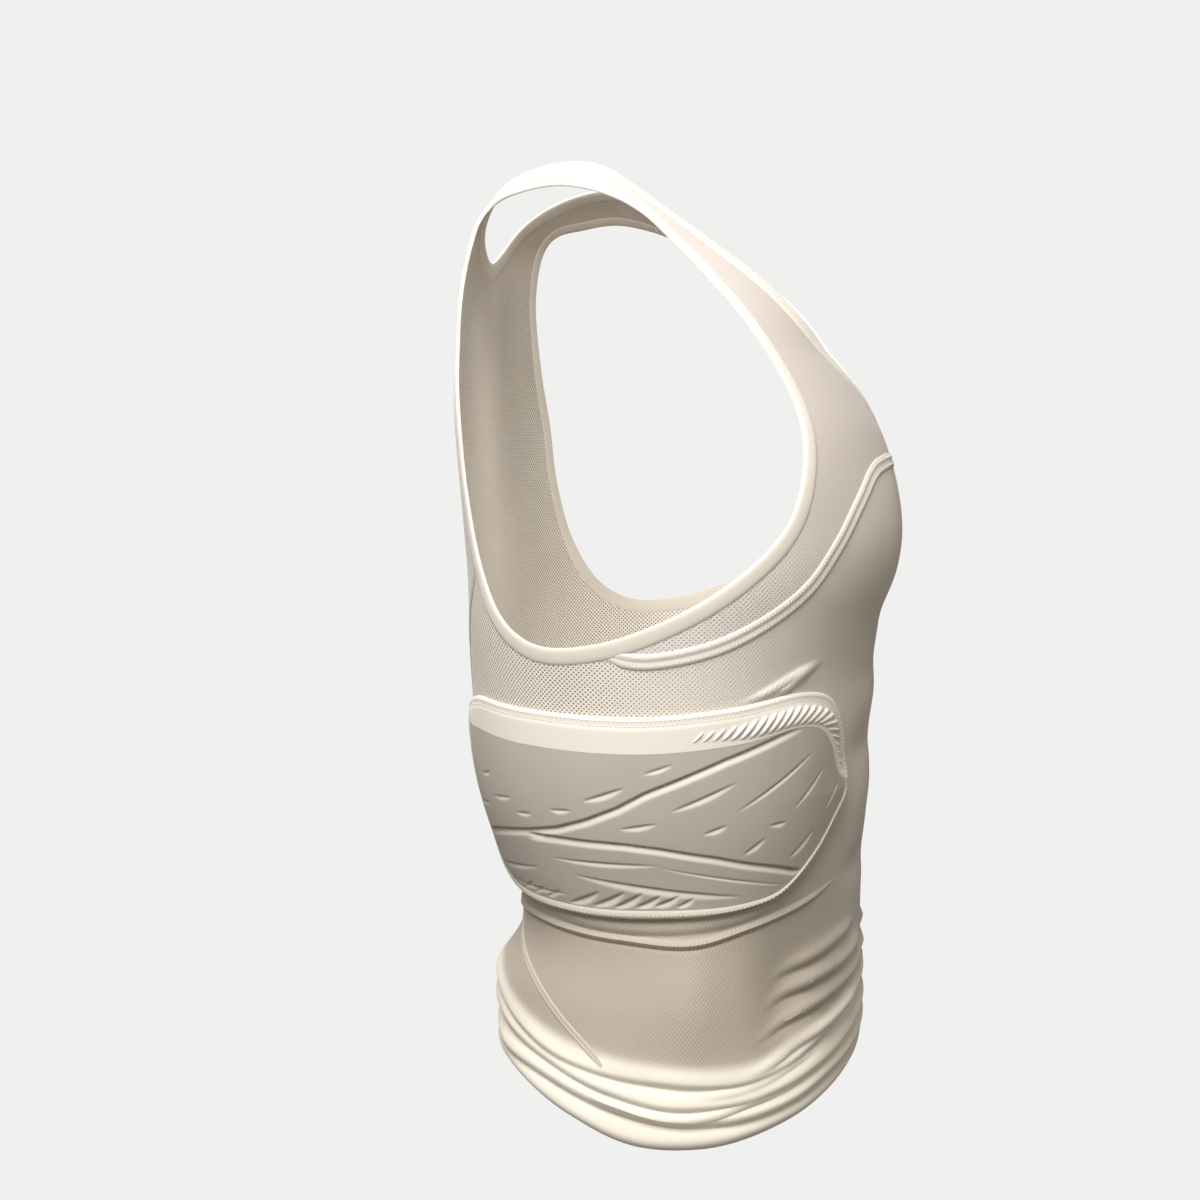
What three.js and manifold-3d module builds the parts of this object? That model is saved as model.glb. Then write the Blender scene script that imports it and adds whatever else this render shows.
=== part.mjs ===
// Padded compression tank top in its worn shape. Millimetres, +Z up, the wearer faces -Y.
// The origin is midway between the two shoulder straps, at the height of their ridge.
// Every piece lies on one body surface. A place on it is an angle in degrees round the body, 0 at
// the front middle and positive towards the wearer's right (-X), and a height. A lift is the
// distance out from the inner face of the cloth.
import * as THREE from 'three';
import { mergeVertices } from 'three/addons/utils/BufferGeometryUtils.js';
import Module from 'manifold-3d';

// Driving dimensions
const CLOTH = 1.6;                                    // wall of the knit panels
const GAP = 0.5;                                      // clearance between sewn pieces
const ARM_BINDING = { width: 9, inner: -0.4, outer: 2.0 };
const NECK_BINDING = { width: 11, inner: -0.4, outer: 2.0 };
const CHEST_SEAM = { width: 9, thick: 1.3, endWidth: 4, endSamples: 3 };
const SIDE_SEAM = { width: 6, thick: 1.2, endWidth: 3, endSamples: 2 };
const PAD = { rim: 3.0, thick: 6.0 };                 // foam at its edge and in the middle
const PAD_BORDER = { thick: 3.4 };
const GROOVE = { halfWidth: 2.4, depth: 2.2, clear: 3 };
const SEAM_TOP = { angle: 127, height: -222 };        // side seam, where it leaves the armhole
const SEAT = 0.8;                                     // clearance under pads and tapes
const PAD_BASE = CLOTH + SEAT;                        // lift of the underside of pads and tapes

// Facets along each piece
const COUNT = {
  neckFront: 11, middle: 2, chest: 14, yoke: 6, underarm: 4,
  neckBack: 8, spine: 4, back: 6, border: 44, groove: 9,
};
const PAD_ROWS = [0, 0.07, 0.22, 0.4, 0.6, 0.78, 0.93, 1];   // across a pad, from top to bottom
const MM_PER_DEGREE = 2.6;                            // usual girth of one degree, for even spacing
const STEP = 0.05;                                    // step for slopes, in degrees and millimetres
const FINE = 40;                                      // dots on each span when a curve is measured
const SAME = 1e-6;                                    // degrees within which two angles are one

const table = (columns, rows) =>
  rows.map((row) => Object.fromEntries(columns.map((name, i) => [name, row[i]])));
const places = (rows) => table(['angle', 'height'], rows);

// Levels of the body: half breadth, middle, front and back, and how square the front and back
// halves are (2 is an ellipse, less is pointed).
const SECTIONS = table(
  ['height', 'halfBreadth', 'middle', 'front', 'back', 'frontSquare', 'backSquare'],
  [
    [20, 36, 4, -28, 40, 2.0, 2.0],
    [10, 56, 3, -35, 47, 2.0, 2.1],
    [0, 78, 1, -40, 54, 2.0, 2.3],
    [-12, 100, -3, -50, 60, 2.2, 2.5],
    [-25, 121, -6, -69, 66, 2.0, 2.6],
    [-42, 138, -10, -101, 70, 1.6, 2.55],
    [-60, 156, -16, -128, 72, 1.4, 2.5],
    [-80, 170, -23, -139, 73, 1.5, 2.45],
    [-100, 178, -29, -146, 73, 1.7, 2.4],
    [-125, 184, -36, -162, 73, 1.8, 2.4],
    [-150, 186, -42, -176, 73, 1.9, 2.4],
    [-175, 185, -46, -184, 73, 2.0, 2.4],
    [-205, 180, -50, -187, 73, 2.1, 2.4],
    [-235, 175, -52, -185, 72, 2.15, 2.4],
    [-260, 170, -52, -178, 72, 2.2, 2.4],
    [-285, 165, -52, -172, 72, 2.25, 2.35],
    [-320, 158, -52, -170, 71, 2.3, 2.3],
    [-360, 150, -54, -169, 66, 2.3, 2.3],
    [-400, 143, -58, -167, 54, 2.3, 2.3],
    [-440, 140, -62, -165, 41, 2.3, 2.3],
    [-480, 146, -62, -165, 45, 2.3, 2.3],
    [-520, 154, -60, -164, 54, 2.3, 2.3],
    [-560, 158, -58, -160, 56, 2.3, 2.3],
  ]);

// Broad swells and hollows of the body under the cloth.
const SWELLS = table(
  ['angle', 'height', 'spanAngle', 'spanHeight', 'rise'],
  [
    [27, -212, 16, 34, 3.0],
    [0, -205, 9, 60, -4.0],
    [142, -130, 22, 55, 5.0],
    [180, -270, 14, 130, -7.0],
  ]);

// Folds that run round the body. Each has four stations from back to front, a rise and the half
// width of its roll. It fades out over fadeAngle before its first and after its last station.
const FOLDS = table(
  ['angle1', 'height1', 'angle2', 'height2', 'angle3', 'height3', 'angle4', 'height4', 'rise', 'width',
    'fadeAngle'],
  [
    [140, -433, 110, -437, 80, -437, 52, -420, 5.0, 6.0, 12],
    [180, -484, 121, -499, 78, -514, 0, -488, 6.0, 7.0, 20],
    [180, -497, 117, -509, 82, -528, 0, -507, 6.5, 6.0, 20],
    [180, -511, 114, -526, 84, -540, 0, -521, 5.5, 5.0, 20],
    [68, -480, 52, -474, 38, -470, 0, -467, 4.0, 6.0, 12],
    [72, -468, 61, -464, 48, -459, 36, -455, 3.0, 5.0, 10],
  ]);

// Rows of facets of the lower panels: heights at the front middle, on the side seam and at the back
// middle, and how much a row still follows the panel's top edge and already follows the hem. They
// lie close where the cloth is rolled under the pads and bunched at the hem.
const ROWS = table(
  ['front', 'side', 'back', 'likeTop', 'likeHem'],
  [
    [-167, -231, -222, 1, 0],
    [-205, -258, -255, 0.7, 0],
    [-242, -287, -285, 0.42, 0],
    [-278, -315, -315, 0.2, 0],
    [-313, -341, -342, 0.06, 0],
    [-345, -366, -368, 0, 0],
    [-375, -390, -391, 0, 0],
    [-398, -407, -408, 0, 0],
    [-413, -417, -418, 0, 0],
    [-422, -424, -425, 0, 0],
    [-429, -430, -431, 0, 0],
    [-436, -436, -437, 0, 0],
    [-443, -442, -443, 0, 0],
    [-450, -450, -450, 0, 0],
    [-458, -460, -459, 0, 0.1],
    [-467, -471, -468, 0, 0.2],
    [-475, -482, -477, 0, 0.3],
    [-482, -491, -485, 0, 0.4],
    [-489, -499, -491, 0, 0.5],
    [-495, -507, -497, 0, 0.6],
    [-501, -515, -503, 0, 0.7],
    [-508, -522, -509, 0, 0.8],
    [-514, -530, -515, 0, 0.9],
    [-521, -538, -522, 0, 1],
    [-529, -547, -530, 0, 1],
  ]);
const SIDE_SEAM_END = 18;                             // row where bunched cloth takes in the side seam

// Finished edges, seams and outlines, as places on the body.
const ARMHOLE = places([
  [90, -10], [70, -26], [59, -62], [53, -102], [52, -135], [55, -168], [61, -201], [73, -232],
  [86, -254], [98, -266], [110, -268], [119, -255], [SEAM_TOP.angle, SEAM_TOP.height], [130, -185],
  [130, -140], [131, -95], [130, -55], [124, -22], [109, -12],
]);
const ARMHOLE_FRONT_END = 9;                          // station where the chest seam runs in
const ARMHOLE_BACK_END = 12;                          // station where the side seam begins
const NECK_RIGHT = places([
  [180, -42], [163, -33], [143, -12], [118, 4], [93, 9], [72, 4], [57, -17], [43, -42], [32, -63],
  [20, -96], [0, -131],
]);
const NECK_RIDGE = 4;                                 // station on the shoulder ridge
const CHEST = places([
  [0, -167], [17, -168], [30, -174], [40, -191], [48, -213], [56, -236], [66, -255], [76, -268], [88, -275],
]);
const SIDE = places([
  [SEAM_TOP.angle, SEAM_TOP.height], [149, -290], [157, -350], [157, -410], [147, -452], [126, -470],
  [110, -492], [98, -515], [93, -547],
]);                                                   // one place for each height
const HEM = places([
  [180, -530], [150, -526], [124, -528], [108, -538], [93, -548], [80, -547], [61, -540], [33, -531],
  [0, -529],
]);
const HEM_SIDE = 4;                                   // station at the foot of the side seam

// Outer edge of a rib pad's border and the border's width there: from the front tip over the top to
// the back tip, then back along the bottom.
const PAD_OUTLINE = table(
  ['angle', 'height', 'border'],
  [
    [37.5, -357, 4], [36.5, -342, 15], [39, -318, 19], [45, -301, 20], [55, -295, 19], [72, -301, 20],
    [90, -306, 20], [115, -305, 20], [136, -305, 18], [147, -316, 12], [151, -365, 8], [147, -406, 7],
    [136, -418, 6], [112, -424, 6], [88, -423, 6], [70, -418, 5], [61, -410, 3], [51, -391, 2.5],
    [43, -371, 2.5],
  ]);
const PAD_BACK_TIP = 10;                              // station at the back tip
// Two flex lines sunk into each pad, which part at the back and run to the front.
const PAD_GROOVES = [
  places([[136, -384], [118, -376], [105, -368], [89, -348], [73, -329], [60, -317]]),
  places([[116, -379], [100, -377], [83, -381], [70, -389], [58, -397]]),
];

const FINISHES = {
  knit: { color: 0xbdb8b0, roughness: 0.85 },
  yoke: { color: 0xd9d6d4, roughness: 0.75 },
  trim: { color: 0xf3efe8, roughness: 0.7 },
  foam: { color: 0xa7a29c, roughness: 0.6 },
};

// Smooth interpolation through a table's rows against one column.
class Profile {
  constructor(rows, key) {
    this.rows = [...rows].sort((a, b) => a[key] - b[key]);
    this.key = key;
    this.names = Object.keys(rows[0]).filter((name) => name !== key);
    const at = (i) => this.rows[i];
    const rate = (i, name) => (at(i + 1)[name] - at(i)[name]) / (at(i + 1)[key] - at(i)[key]);
    const last = this.rows.length - 1;
    this.slopes = this.rows.map((row, i) => {
      const slope = {};
      for (const name of this.names) {
        if (i === 0 || i === last) {
          slope[name] = rate(i === 0 ? 0 : last - 1, name);
          continue;
        }
        const before = row[key] - at(i - 1)[key];
        const after = at(i + 1)[key] - row[key];
        slope[name] = (rate(i - 1, name) * after + rate(i, name) * before) / (before + after);
      }
      return slope;
    });
  }

  at(value) {
    const { rows, key, slopes } = this;
    let i = 0;
    while (i < rows.length - 2 && value > rows[i + 1][key]) i += 1;
    const span = rows[i + 1][key] - rows[i][key];
    const t = THREE.MathUtils.clamp((value - rows[i][key]) / span, 0, 1);
    const out = {};
    for (const name of this.names) {
      out[name] = rows[i][name] * (1 + 2 * t) * (1 - t) ** 2
        + slopes[i][name] * span * t * (1 - t) ** 2
        + rows[i + 1][name] * t * t * (3 - 2 * t)
        + slopes[i + 1][name] * span * t * t * (t - 1);
    }
    return out;
  }
}

const body = new Profile(SECTIONS, 'height');
const foldPaths = FOLDS.map((fold) => new Profile(
  [1, 2, 3, 4].map((n) => ({ angle: fold[`angle${n}`], height: fold[`height${n}`] })), 'angle'));

// How far swells and folds move the cloth out at a place; both sides of the body are alike.
function relief(angle, height) {
  const side = Math.abs(angle);
  let rise = 0;
  for (const swell of SWELLS) {
    const across = (side - swell.angle) / swell.spanAngle;
    const along = (height - swell.height) / swell.spanHeight;
    rise += swell.rise * Math.exp(-across * across - along * along);
  }
  FOLDS.forEach((fold, i) => {
    const beyond = Math.max(side - fold.angle1, fold.angle4 - side, 0) / fold.fadeAngle;
    if (beyond >= 1) return;
    const across = (height - foldPaths[i].at(side).height) / fold.width;
    rise += fold.rise * Math.exp(-across * across) * (1 - beyond * beyond * (3 - 2 * beyond));
  });
  return rise;
}

// The inner face of the cloth.
function skin({ angle, height }) {
  const level = body.at(height);
  const turn = THREE.MathUtils.degToRad(angle);
  const sin = Math.sin(turn);
  const cos = Math.cos(turn);
  const depth = cos > 0 ? level.middle - level.front : level.back - level.middle;
  const square = cos > 0 ? level.frontSquare : level.backSquare;
  const sum = (Math.abs(sin) / level.halfBreadth) ** square + (Math.abs(cos) / depth) ** square;
  const radius = sum ** (-1 / square) + relief(angle, height);
  return new THREE.Vector3(-radius * sin, level.middle - radius * cos, height);
}

// The surface's two slopes and its outward normal at a place.
function lie({ angle, height }) {
  const round = skin({ angle: angle + STEP, height }).sub(skin({ angle: angle - STEP, height }));
  const rise = skin({ angle, height: height + STEP }).sub(skin({ angle, height: height - STEP }));
  round.divideScalar(2 * STEP);
  rise.divideScalar(2 * STEP);
  const out = new THREE.Vector3().crossVectors(rise, round).normalize();
  return { round, rise, out };
}

function lifted(place, lift) {
  return skin(place).addScaledVector(lie(place).out, lift);
}

// The place reached from another by a short move along the surface.
function moved(place, move) {
  const { round, rise } = lie(place);
  const rr = round.dot(round);
  const rh = round.dot(rise);
  const hh = rise.dot(rise);
  const mr = move.dot(round);
  const mh = move.dot(rise);
  const det = rr * hh - rh * rh;
  return {
    angle: place.angle + (mr * hh - mh * rh) / det,
    height: place.height + (mh * rr - mr * rh) / det,
  };
}

// Unit sideways directions along a path, mitred so that an offset keeps its width round corners.
// They point down from a path that runs towards the wearer's right.
function sideways(path, closed) {
  const last = path.length - 1;
  return path.map((place, i) => {
    const here = skin(place);
    const { out } = lie(place);
    const normals = [];
    if (closed || i > 0) normals.push(here.clone().sub(skin(path[i > 0 ? i - 1 : last])));
    if (closed || i < last) normals.push(skin(path[i < last ? i + 1 : 0]).sub(here));
    const across = normals.map((way) => new THREE.Vector3().crossVectors(out, way).normalize());
    const mitre = across[0].clone().add(across[across.length - 1]).normalize();
    return mitre.divideScalar(mitre.dot(across[0]));
  });
}

function offset(path, distance, closed = false) {
  const sides = sideways(path, closed);
  return path.map((place, i) => moved(place, sides[i].clone().multiplyScalar(distance)));
}

const mirrored = (path) => path.map(({ angle, ...rest }) => ({ ...rest, angle: -angle }));

const { lerp } = THREE.MathUtils;
const even = (count) => Array.from({ length: count + 1 }, (_, i) => i / count);
const straight = (from, to, shares) => shares.map((share) => ({
  angle: lerp(from.angle, to.angle, share),
  height: lerp(from.height, to.height, share),
}));

// Evenly spaced places on the smooth curve through stations, from one station to another. A border
// width of the stations is carried along.
function along(stations, first, last, count, closed = false) {
  const knots = stations.map(({ angle, height, border = 0 }) => (
    new THREE.Vector3(angle * MM_PER_DEGREE, height, border)));
  const spline = new THREE.CatmullRomCurve3(knots, closed, 'centripetal');
  const spans = closed ? stations.length : stations.length - 1;
  const dots = even(FINE * (last - first)).map((share) => {
    const dot = spline.getPoint(lerp(first, last, share) / spans);
    return { angle: dot.x / MM_PER_DEGREE, height: dot.y, border: dot.z };
  });
  const points = dots.map(skin);
  const reach = [0];
  for (let i = 1; i < dots.length; i += 1) {
    reach.push(reach[i - 1] + points[i].distanceTo(points[i - 1]));
  }
  const final = dots.length - 1;
  return even(count).map((share) => {
    const want = share * reach[final];
    let i = 0;
    while (i < final - 1 && reach[i + 1] < want) i += 1;
    const t = (want - reach[i]) / (reach[i + 1] - reach[i]);
    return {
      ...straight(dots[i], dots[i + 1], [t])[0],
      border: lerp(dots[i].border, dots[i + 1].border, t),
    };
  });
}

// Places inside four edges. Rows run from the left edge to the right one, and bend with the top and
// bottom edges by their shares of them.
function patch(top, bottom, left, right, likeTop, likeBottom) {
  const last = top.length - 1;
  const bend = (edge, i, name) => edge[i][name] - lerp(edge[0][name], edge[last][name], i / last);
  const mix = (name, i, j) => lerp(left[j][name], right[j][name], i / last)
    + likeTop[j] * bend(top, i, name) + likeBottom[j] * bend(bottom, i, name);
  return left.map((_, j) => top.map((__, i) => ({ angle: mix('angle', i, j), height: mix('height', i, j) })));
}

// A closed geometry from corner points and triangles, turned so that its faces point out.
function solid(points, triangles) {
  const cross = new THREE.Vector3();
  let volume = 0;
  for (const [i, j, k] of triangles) volume += points[i].dot(cross.crossVectors(points[j], points[k]));
  const index = triangles.flatMap(([i, j, k]) => (volume > 0 ? [i, j, k] : [i, k, j]));
  const geometry = new THREE.BufferGeometry();
  const numbers = points.flatMap((point) => point.toArray());
  geometry.setAttribute('position', new THREE.Float32BufferAttribute(numbers, 3));
  geometry.setIndex(index);
  return geometry;
}

// A wall of cloth or foam over a mesh of places, with lifts for its inner and outer face.
class Sheet {
  constructor() {
    this.places = [];
    this.quads = [];
    this.found = new Map();
  }

  corner(place) {
    const angle = place.angle <= SAME - 180 ? place.angle + 360 : place.angle;
    const key = `${angle.toFixed(4)} ${place.height.toFixed(4)}`;
    if (!this.found.has(key)) {
      this.found.set(key, this.places.length);
      this.places.push({ ...place, angle });
    }
    return this.found.get(key);
  }

  add(rows) {
    const ids = rows.map((row) => row.map((place) => this.corner(place)));
    for (let j = 0; j < ids.length - 1; j += 1) {
      for (let i = 0; i < ids[j].length - 1; i += 1) {
        this.quads.push([ids[j][i], ids[j][i + 1], ids[j + 1][i + 1], ids[j + 1][i]]);
      }
    }
    return this;
  }

  addBothSides(rows) {
    return this.add(rows).add(rows.map((row) => mirrored(row).reverse()));
  }

  wall(inner, outer) {
    const count = this.places.length;
    const face = (lift) => this.places.map((place) => lifted(place, lift(place)));
    const points = [...face(outer), ...face(inner)];
    const far = (a, b) => points[a].distanceTo(points[b]);
    const halves = ([a, b, c, d]) => (far(a, c) <= far(b, d)
      ? [[a, b, c], [a, c, d]] : [[a, b, d], [b, c, d]]);
    const faces = this.quads.flatMap(halves).filter(([a, b, c]) => a !== b && b !== c && c !== a);
    const edges = new Set(faces.flatMap(([a, b, c]) => [`${a} ${b}`, `${b} ${c}`, `${c} ${a}`]));
    const triangles = faces.flatMap(([a, b, c]) => [[a, b, c], [a + count, c + count, b + count]]);
    for (const edge of edges) {
      const [a, b] = edge.split(' ').map(Number);
      if (edges.has(`${b} ${a}`)) continue;
      triangles.push([b, a, a + count], [b, a + count, b + count]);
    }
    return solid(points, triangles);
  }
}

// A strip along a path: section gives its corners at sample i as [side, lift] pairs.
function strip(path, closed, section) {
  const sides = sideways(path, closed);
  const points = [];
  const rings = path.map((place, i) => section(i).map(([side, lift]) => {
    points.push(lifted(moved(place, sides[i].clone().multiplyScalar(side)), lift));
    return points.length - 1;
  }));
  const corners = rings[0].length;
  const triangles = [];
  const steps = closed ? path.length : path.length - 1;
  for (let i = 0; i < steps; i += 1) {
    const near = rings[i];
    const far = rings[(i + 1) % path.length];
    for (let k = 0; k < corners; k += 1) {
      const next = (k + 1) % corners;
      triangles.push([near[k], near[next], far[next]], [near[k], far[next], far[k]]);
    }
  }
  if (!closed) {
    const tail = rings[rings.length - 1];
    for (let k = 1; k < corners - 1; k += 1) {
      triangles.push([rings[0][0], rings[0][k + 1], rings[0][k]], [tail[0], tail[k], tail[k + 1]]);
    }
  }
  return solid(points, triangles);
}

const oblong = (near, far, low, high) => [[near, low], [far, low], [far, high], [near, high]];

// Sampled edges and seams of the right side, shared by the pieces that meet there.
const frontEnd = COUNT.neckFront + COUNT.middle + COUNT.chest;
const backEnd = frontEnd + COUNT.underarm;
const armhole = [
  ...along(ARMHOLE, 0, ARMHOLE_FRONT_END, frontEnd, true),
  ...along(ARMHOLE, ARMHOLE_FRONT_END, ARMHOLE_BACK_END, COUNT.underarm, true).slice(1),
  ...along(ARMHOLE, ARMHOLE_BACK_END, ARMHOLE.length, COUNT.neckBack + COUNT.spine, true).slice(1, -1),
];
const armInner = offset(armhole, ARM_BINDING.width + GAP, true);

const neckLeft = NECK_RIGHT.map(({ angle, height }) => ({ angle: 360 - angle, height })).reverse();
const neckStations = [...neckLeft, ...NECK_RIGHT.slice(1)];
const neckTurn = NECK_RIGHT.length - 1;
const neckRight = [
  ...along(neckStations, neckTurn, neckTurn + NECK_RIDGE, COUNT.neckBack),
  ...along(neckStations, neckTurn + NECK_RIDGE, neckStations.length - 1, COUNT.neckFront).slice(1),
];
const neckLoop = [...neckRight, ...mirrored(neckRight).reverse().slice(1, -1)];
const neckInner = offset(neckLoop, -NECK_BINDING.width - GAP, true).slice(0, neckRight.length);
neckInner[0].angle = 180;
neckInner[neckInner.length - 1].angle = 0;

const chest = along([...CHEST, armInner[frontEnd]], 0, CHEST.length, COUNT.chest);
const sideLine = new Profile(SIDE, 'height');
const side = ROWS.map(({ side: height }) => ({ angle: sideLine.at(height).angle, height }));
side[0] = armInner[backEnd];
const likeTop = ROWS.map((row) => row.likeTop);
const likeHem = ROWS.map((row) => row.likeHem);

// Upper front with the front halves of the straps: rows from the neck, the front middle and the
// chest seam across to the armhole.
function chestYoke() {
  const neckEdge = neckInner.slice(COUNT.neckBack);
  const middle = straight(neckEdge[neckEdge.length - 1], chest[0], even(COUNT.middle));
  const inner = [...neckEdge, ...middle.slice(1), ...chest.slice(1)];
  const rows = inner.map((place, j) => straight(place, armInner[j], even(COUNT.yoke)));
  return new Sheet().addBothSides(rows).wall(() => 0, () => CLOTH);
}

// Knit front and sides, from the chest seam and the underarms to the hem.
function frontPanel() {
  const top = offset([...chest, ...armInner.slice(frontEnd + 1, backEnd + 1)], GAP);
  top[0].angle = 0;
  const right = offset(side, GAP);
  right[0] = moved(top[top.length - 1], sideways(side, false)[0].multiplyScalar(GAP));
  top[top.length - 1] = right[0];
  const foot = along(HEM, HEM_SIDE, HEM.length - 1, COUNT.chest + COUNT.underarm).reverse();
  foot[foot.length - 1] = right[right.length - 1];
  const left = ROWS.map(({ front }) => ({ angle: 0, height: front }));
  left[0] = top[0];
  left[left.length - 1] = foot[0];
  return new Sheet().addBothSides(patch(top, foot, left, right, likeTop, likeHem)).wall(() => 0, () => CLOTH);
}

// Knit back with the back halves of the straps, from the shoulder seams to the hem.
function backPanel() {
  const pastShoulder = ({ angle, height }) => ({ angle: angle + 2 * GAP / MM_PER_DEGREE, height });
  const neckEdge = [...neckInner.slice(0, COUNT.neckBack), pastShoulder(neckInner[COUNT.neckBack])].reverse();
  const armEdge = [...armInner.slice(backEnd), pastShoulder(armInner[0])].reverse();
  const middle = { angle: 180, height: SEAM_TOP.height };
  const spine = straight(neckEdge[neckEdge.length - 1], middle, even(COUNT.spine)).slice(1);
  const shares = even(COUNT.back);
  const across = straight(middle, side[0], shares);
  const none = armEdge.map(() => 0);
  const strap = straight(neckEdge[0], armEdge[0], shares);
  const upper = patch(strap, across, [...neckEdge, ...spine], armEdge, none, none);
  const foot = along(HEM, 0, HEM_SIDE, COUNT.back);
  foot[foot.length - 1] = side[side.length - 1];
  const left = ROWS.map(({ back }) => ({ angle: 180, height: back }));
  left[left.length - 1] = foot[0];
  const lower = patch(across, foot, left, side, likeTop, likeHem);
  return new Sheet().addBothSides(upper).addBothSides(lower).wall(() => 0, () => CLOTH);
}

// A bound edge: the path is its free edge, and it reaches inward on the side with that sign.
function binding(path, inward, { width, inner, outer }) {
  return strip(path, true, () => oblong(0, inward * width, inner, outer));
}

// A raised seam over the joint of two panels, narrower at its ends.
function seam(path, { width, thick, endWidth, endSamples }) {
  const last = path.length - 1;
  return strip(path, false, (i) => {
    const full = Math.min(1, Math.min(i, last - i) / endSamples);
    const half = lerp(endWidth, width, full) / 2;
    const top = PAD_BASE + thick;
    return [[-half, PAD_BASE], [0, PAD_BASE], [half, PAD_BASE], [half, top], [0, top], [-half, top]];
  });
}

const chestLine = [...mirrored(chest).reverse().slice(1, -1), ...chest.slice(0, -1)];
const outlineTop = along(PAD_OUTLINE, 0, PAD_BACK_TIP, COUNT.border / 2, true);
const outlineFoot = along(PAD_OUTLINE, PAD_BACK_TIP, PAD_OUTLINE.length, COUNT.border / 2, true);
const outline = [...outlineTop, ...outlineFoot.slice(1, -1)];

// The stitched frame of a pad.
function padBorder(path, inward) {
  const face = PAD_BASE + PAD_BORDER.thick;
  return strip(path, true, (i) => oblong(0, inward * path[i].border, PAD_BASE, face));
}

function manifoldOf(wasm, geometry) {
  const welded = mergeVertices(geometry);
  return new wasm.Manifold(new wasm.Mesh({
    numProp: 3,
    vertProperties: welded.attributes.position.array,
    triVerts: new Uint32Array(welded.index.array),
  }));
}

function geometryOf(shape) {
  const { vertProperties, triVerts } = shape.getMesh();
  const geometry = new THREE.BufferGeometry();
  geometry.setAttribute('position', new THREE.Float32BufferAttribute(vertProperties, 3));
  geometry.setIndex([...triVerts]);
  return geometry;
}

// The foam of a pad inside its border, with the flex lines cut into its outer face.
function ribPad(wasm, turned) {
  const sides = sideways(outline, true);
  const edge = outline.map((place, i) => moved(place, sides[i].clone().multiplyScalar(place.border + GAP)));
  const half = COUNT.border / 2;
  const foot = [edge[0], ...edge.slice(half).reverse()];
  const rows = PAD_ROWS.map((share) => foot.map((place, i) => ({
    ...straight(edge[i], place, [share])[0],
    rim: share === 0 || share === 1 || i === 0 || i === half,
  })));
  const foam = new Sheet().add(rows.map((row) => turned(row)))
    .wall(() => PAD_BASE, (place) => PAD_BASE + (place.rim ? PAD.rim : PAD.thick));
  const face = PAD_BASE + PAD.thick;
  return geometryOf(PAD_GROOVES.reduce((shape, stations) => {
    const line = turned(along(stations, 0, stations.length - 1, COUNT.groove));
    const cut = strip(line, false, () => [
      [0, face - GROOVE.depth], [GROOVE.halfWidth, face], [GROOVE.halfWidth, face + GROOVE.clear],
      [-GROOVE.halfWidth, face + GROOVE.clear], [-GROOVE.halfWidth, face],
    ]);
    return shape.subtract(manifoldOf(wasm, cut));
  }, manifoldOf(wasm, foam)));
}

const wasm = await Module();
wasm.setup();

const tankTop = new THREE.Group();
function sewIn(name, geometry, finish) {
  const mesh = new THREE.Mesh(geometry, new THREE.MeshStandardMaterial(finish));
  mesh.name = name;
  tankTop.add(mesh);
}

sewIn('chest_yoke', chestYoke(), FINISHES.yoke);
sewIn('front_panel', frontPanel(), FINISHES.knit);
sewIn('back_panel', backPanel(), FINISHES.knit);
sewIn('neck_binding', binding(neckLoop, -1, NECK_BINDING), FINISHES.trim);
sewIn('chest_seam', seam(chestLine, CHEST_SEAM), FINISHES.trim);
for (const [name, turned, inward] of [['right', (path) => path, 1], ['left', mirrored, -1]]) {
  sewIn(`armhole_binding_${name}`, binding(turned(armhole), inward, ARM_BINDING), FINISHES.trim);
  sewIn(`side_seam_${name}`, seam(turned(side.slice(1, SIDE_SEAM_END)), SIDE_SEAM), FINISHES.trim);
  sewIn(`rib_pad_${name}`, ribPad(wasm, turned), FINISHES.foam);
  sewIn(`pad_border_${name}`, padBorder(turned(outline), inward), FINISHES.trim);
}

export default tankTop;
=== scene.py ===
# Padded compression tank top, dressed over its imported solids. Metres, +Z up, the wearer faces -Y.
# Shapes are worked out in millimetres on one surface, the inner face of the cloth. A place on it is an
# angle in degrees round the top, 0 at the front middle and positive towards the wearer's right (-X), and
# a height. A lift is the distance out from that face.
import math

import bpy
import numpy as np
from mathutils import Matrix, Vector


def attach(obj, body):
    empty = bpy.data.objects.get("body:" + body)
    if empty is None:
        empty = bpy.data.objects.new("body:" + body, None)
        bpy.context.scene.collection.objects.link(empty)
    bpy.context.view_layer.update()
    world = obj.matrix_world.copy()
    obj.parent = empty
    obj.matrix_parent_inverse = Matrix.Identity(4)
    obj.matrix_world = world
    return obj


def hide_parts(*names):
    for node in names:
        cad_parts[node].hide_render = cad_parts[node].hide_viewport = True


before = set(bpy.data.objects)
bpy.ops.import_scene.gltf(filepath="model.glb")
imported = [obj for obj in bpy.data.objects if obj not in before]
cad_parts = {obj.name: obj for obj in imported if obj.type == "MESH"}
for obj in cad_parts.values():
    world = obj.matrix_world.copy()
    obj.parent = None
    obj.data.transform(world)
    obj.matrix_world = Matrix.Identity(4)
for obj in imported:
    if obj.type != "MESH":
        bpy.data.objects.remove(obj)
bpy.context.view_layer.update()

MM = 0.001
CLOTH = 1.6               # wall of the knit panels
GAP = 0.4                 # between the edges of sewn pieces
SEWN_GAP = 0.1            # between pieces that read as one
TAPE_OVERLAP = 2.5 * GAP  # how far a tape reaches over the edge of the cloth
SEAT = 0.8                # clearance under pads
PAD_BASE = CLOTH + SEAT   # lift of a pad's underside
PAD_SUNK = 0.5 * SEAT     # how far a pad and its border reach below that
MM_PER_DEGREE = 2.6       # usual girth of one degree
STEP = 0.05               # step for slopes, in degrees and millimetres
FINE = 40                 # dots on each span when a curve is measured
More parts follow.
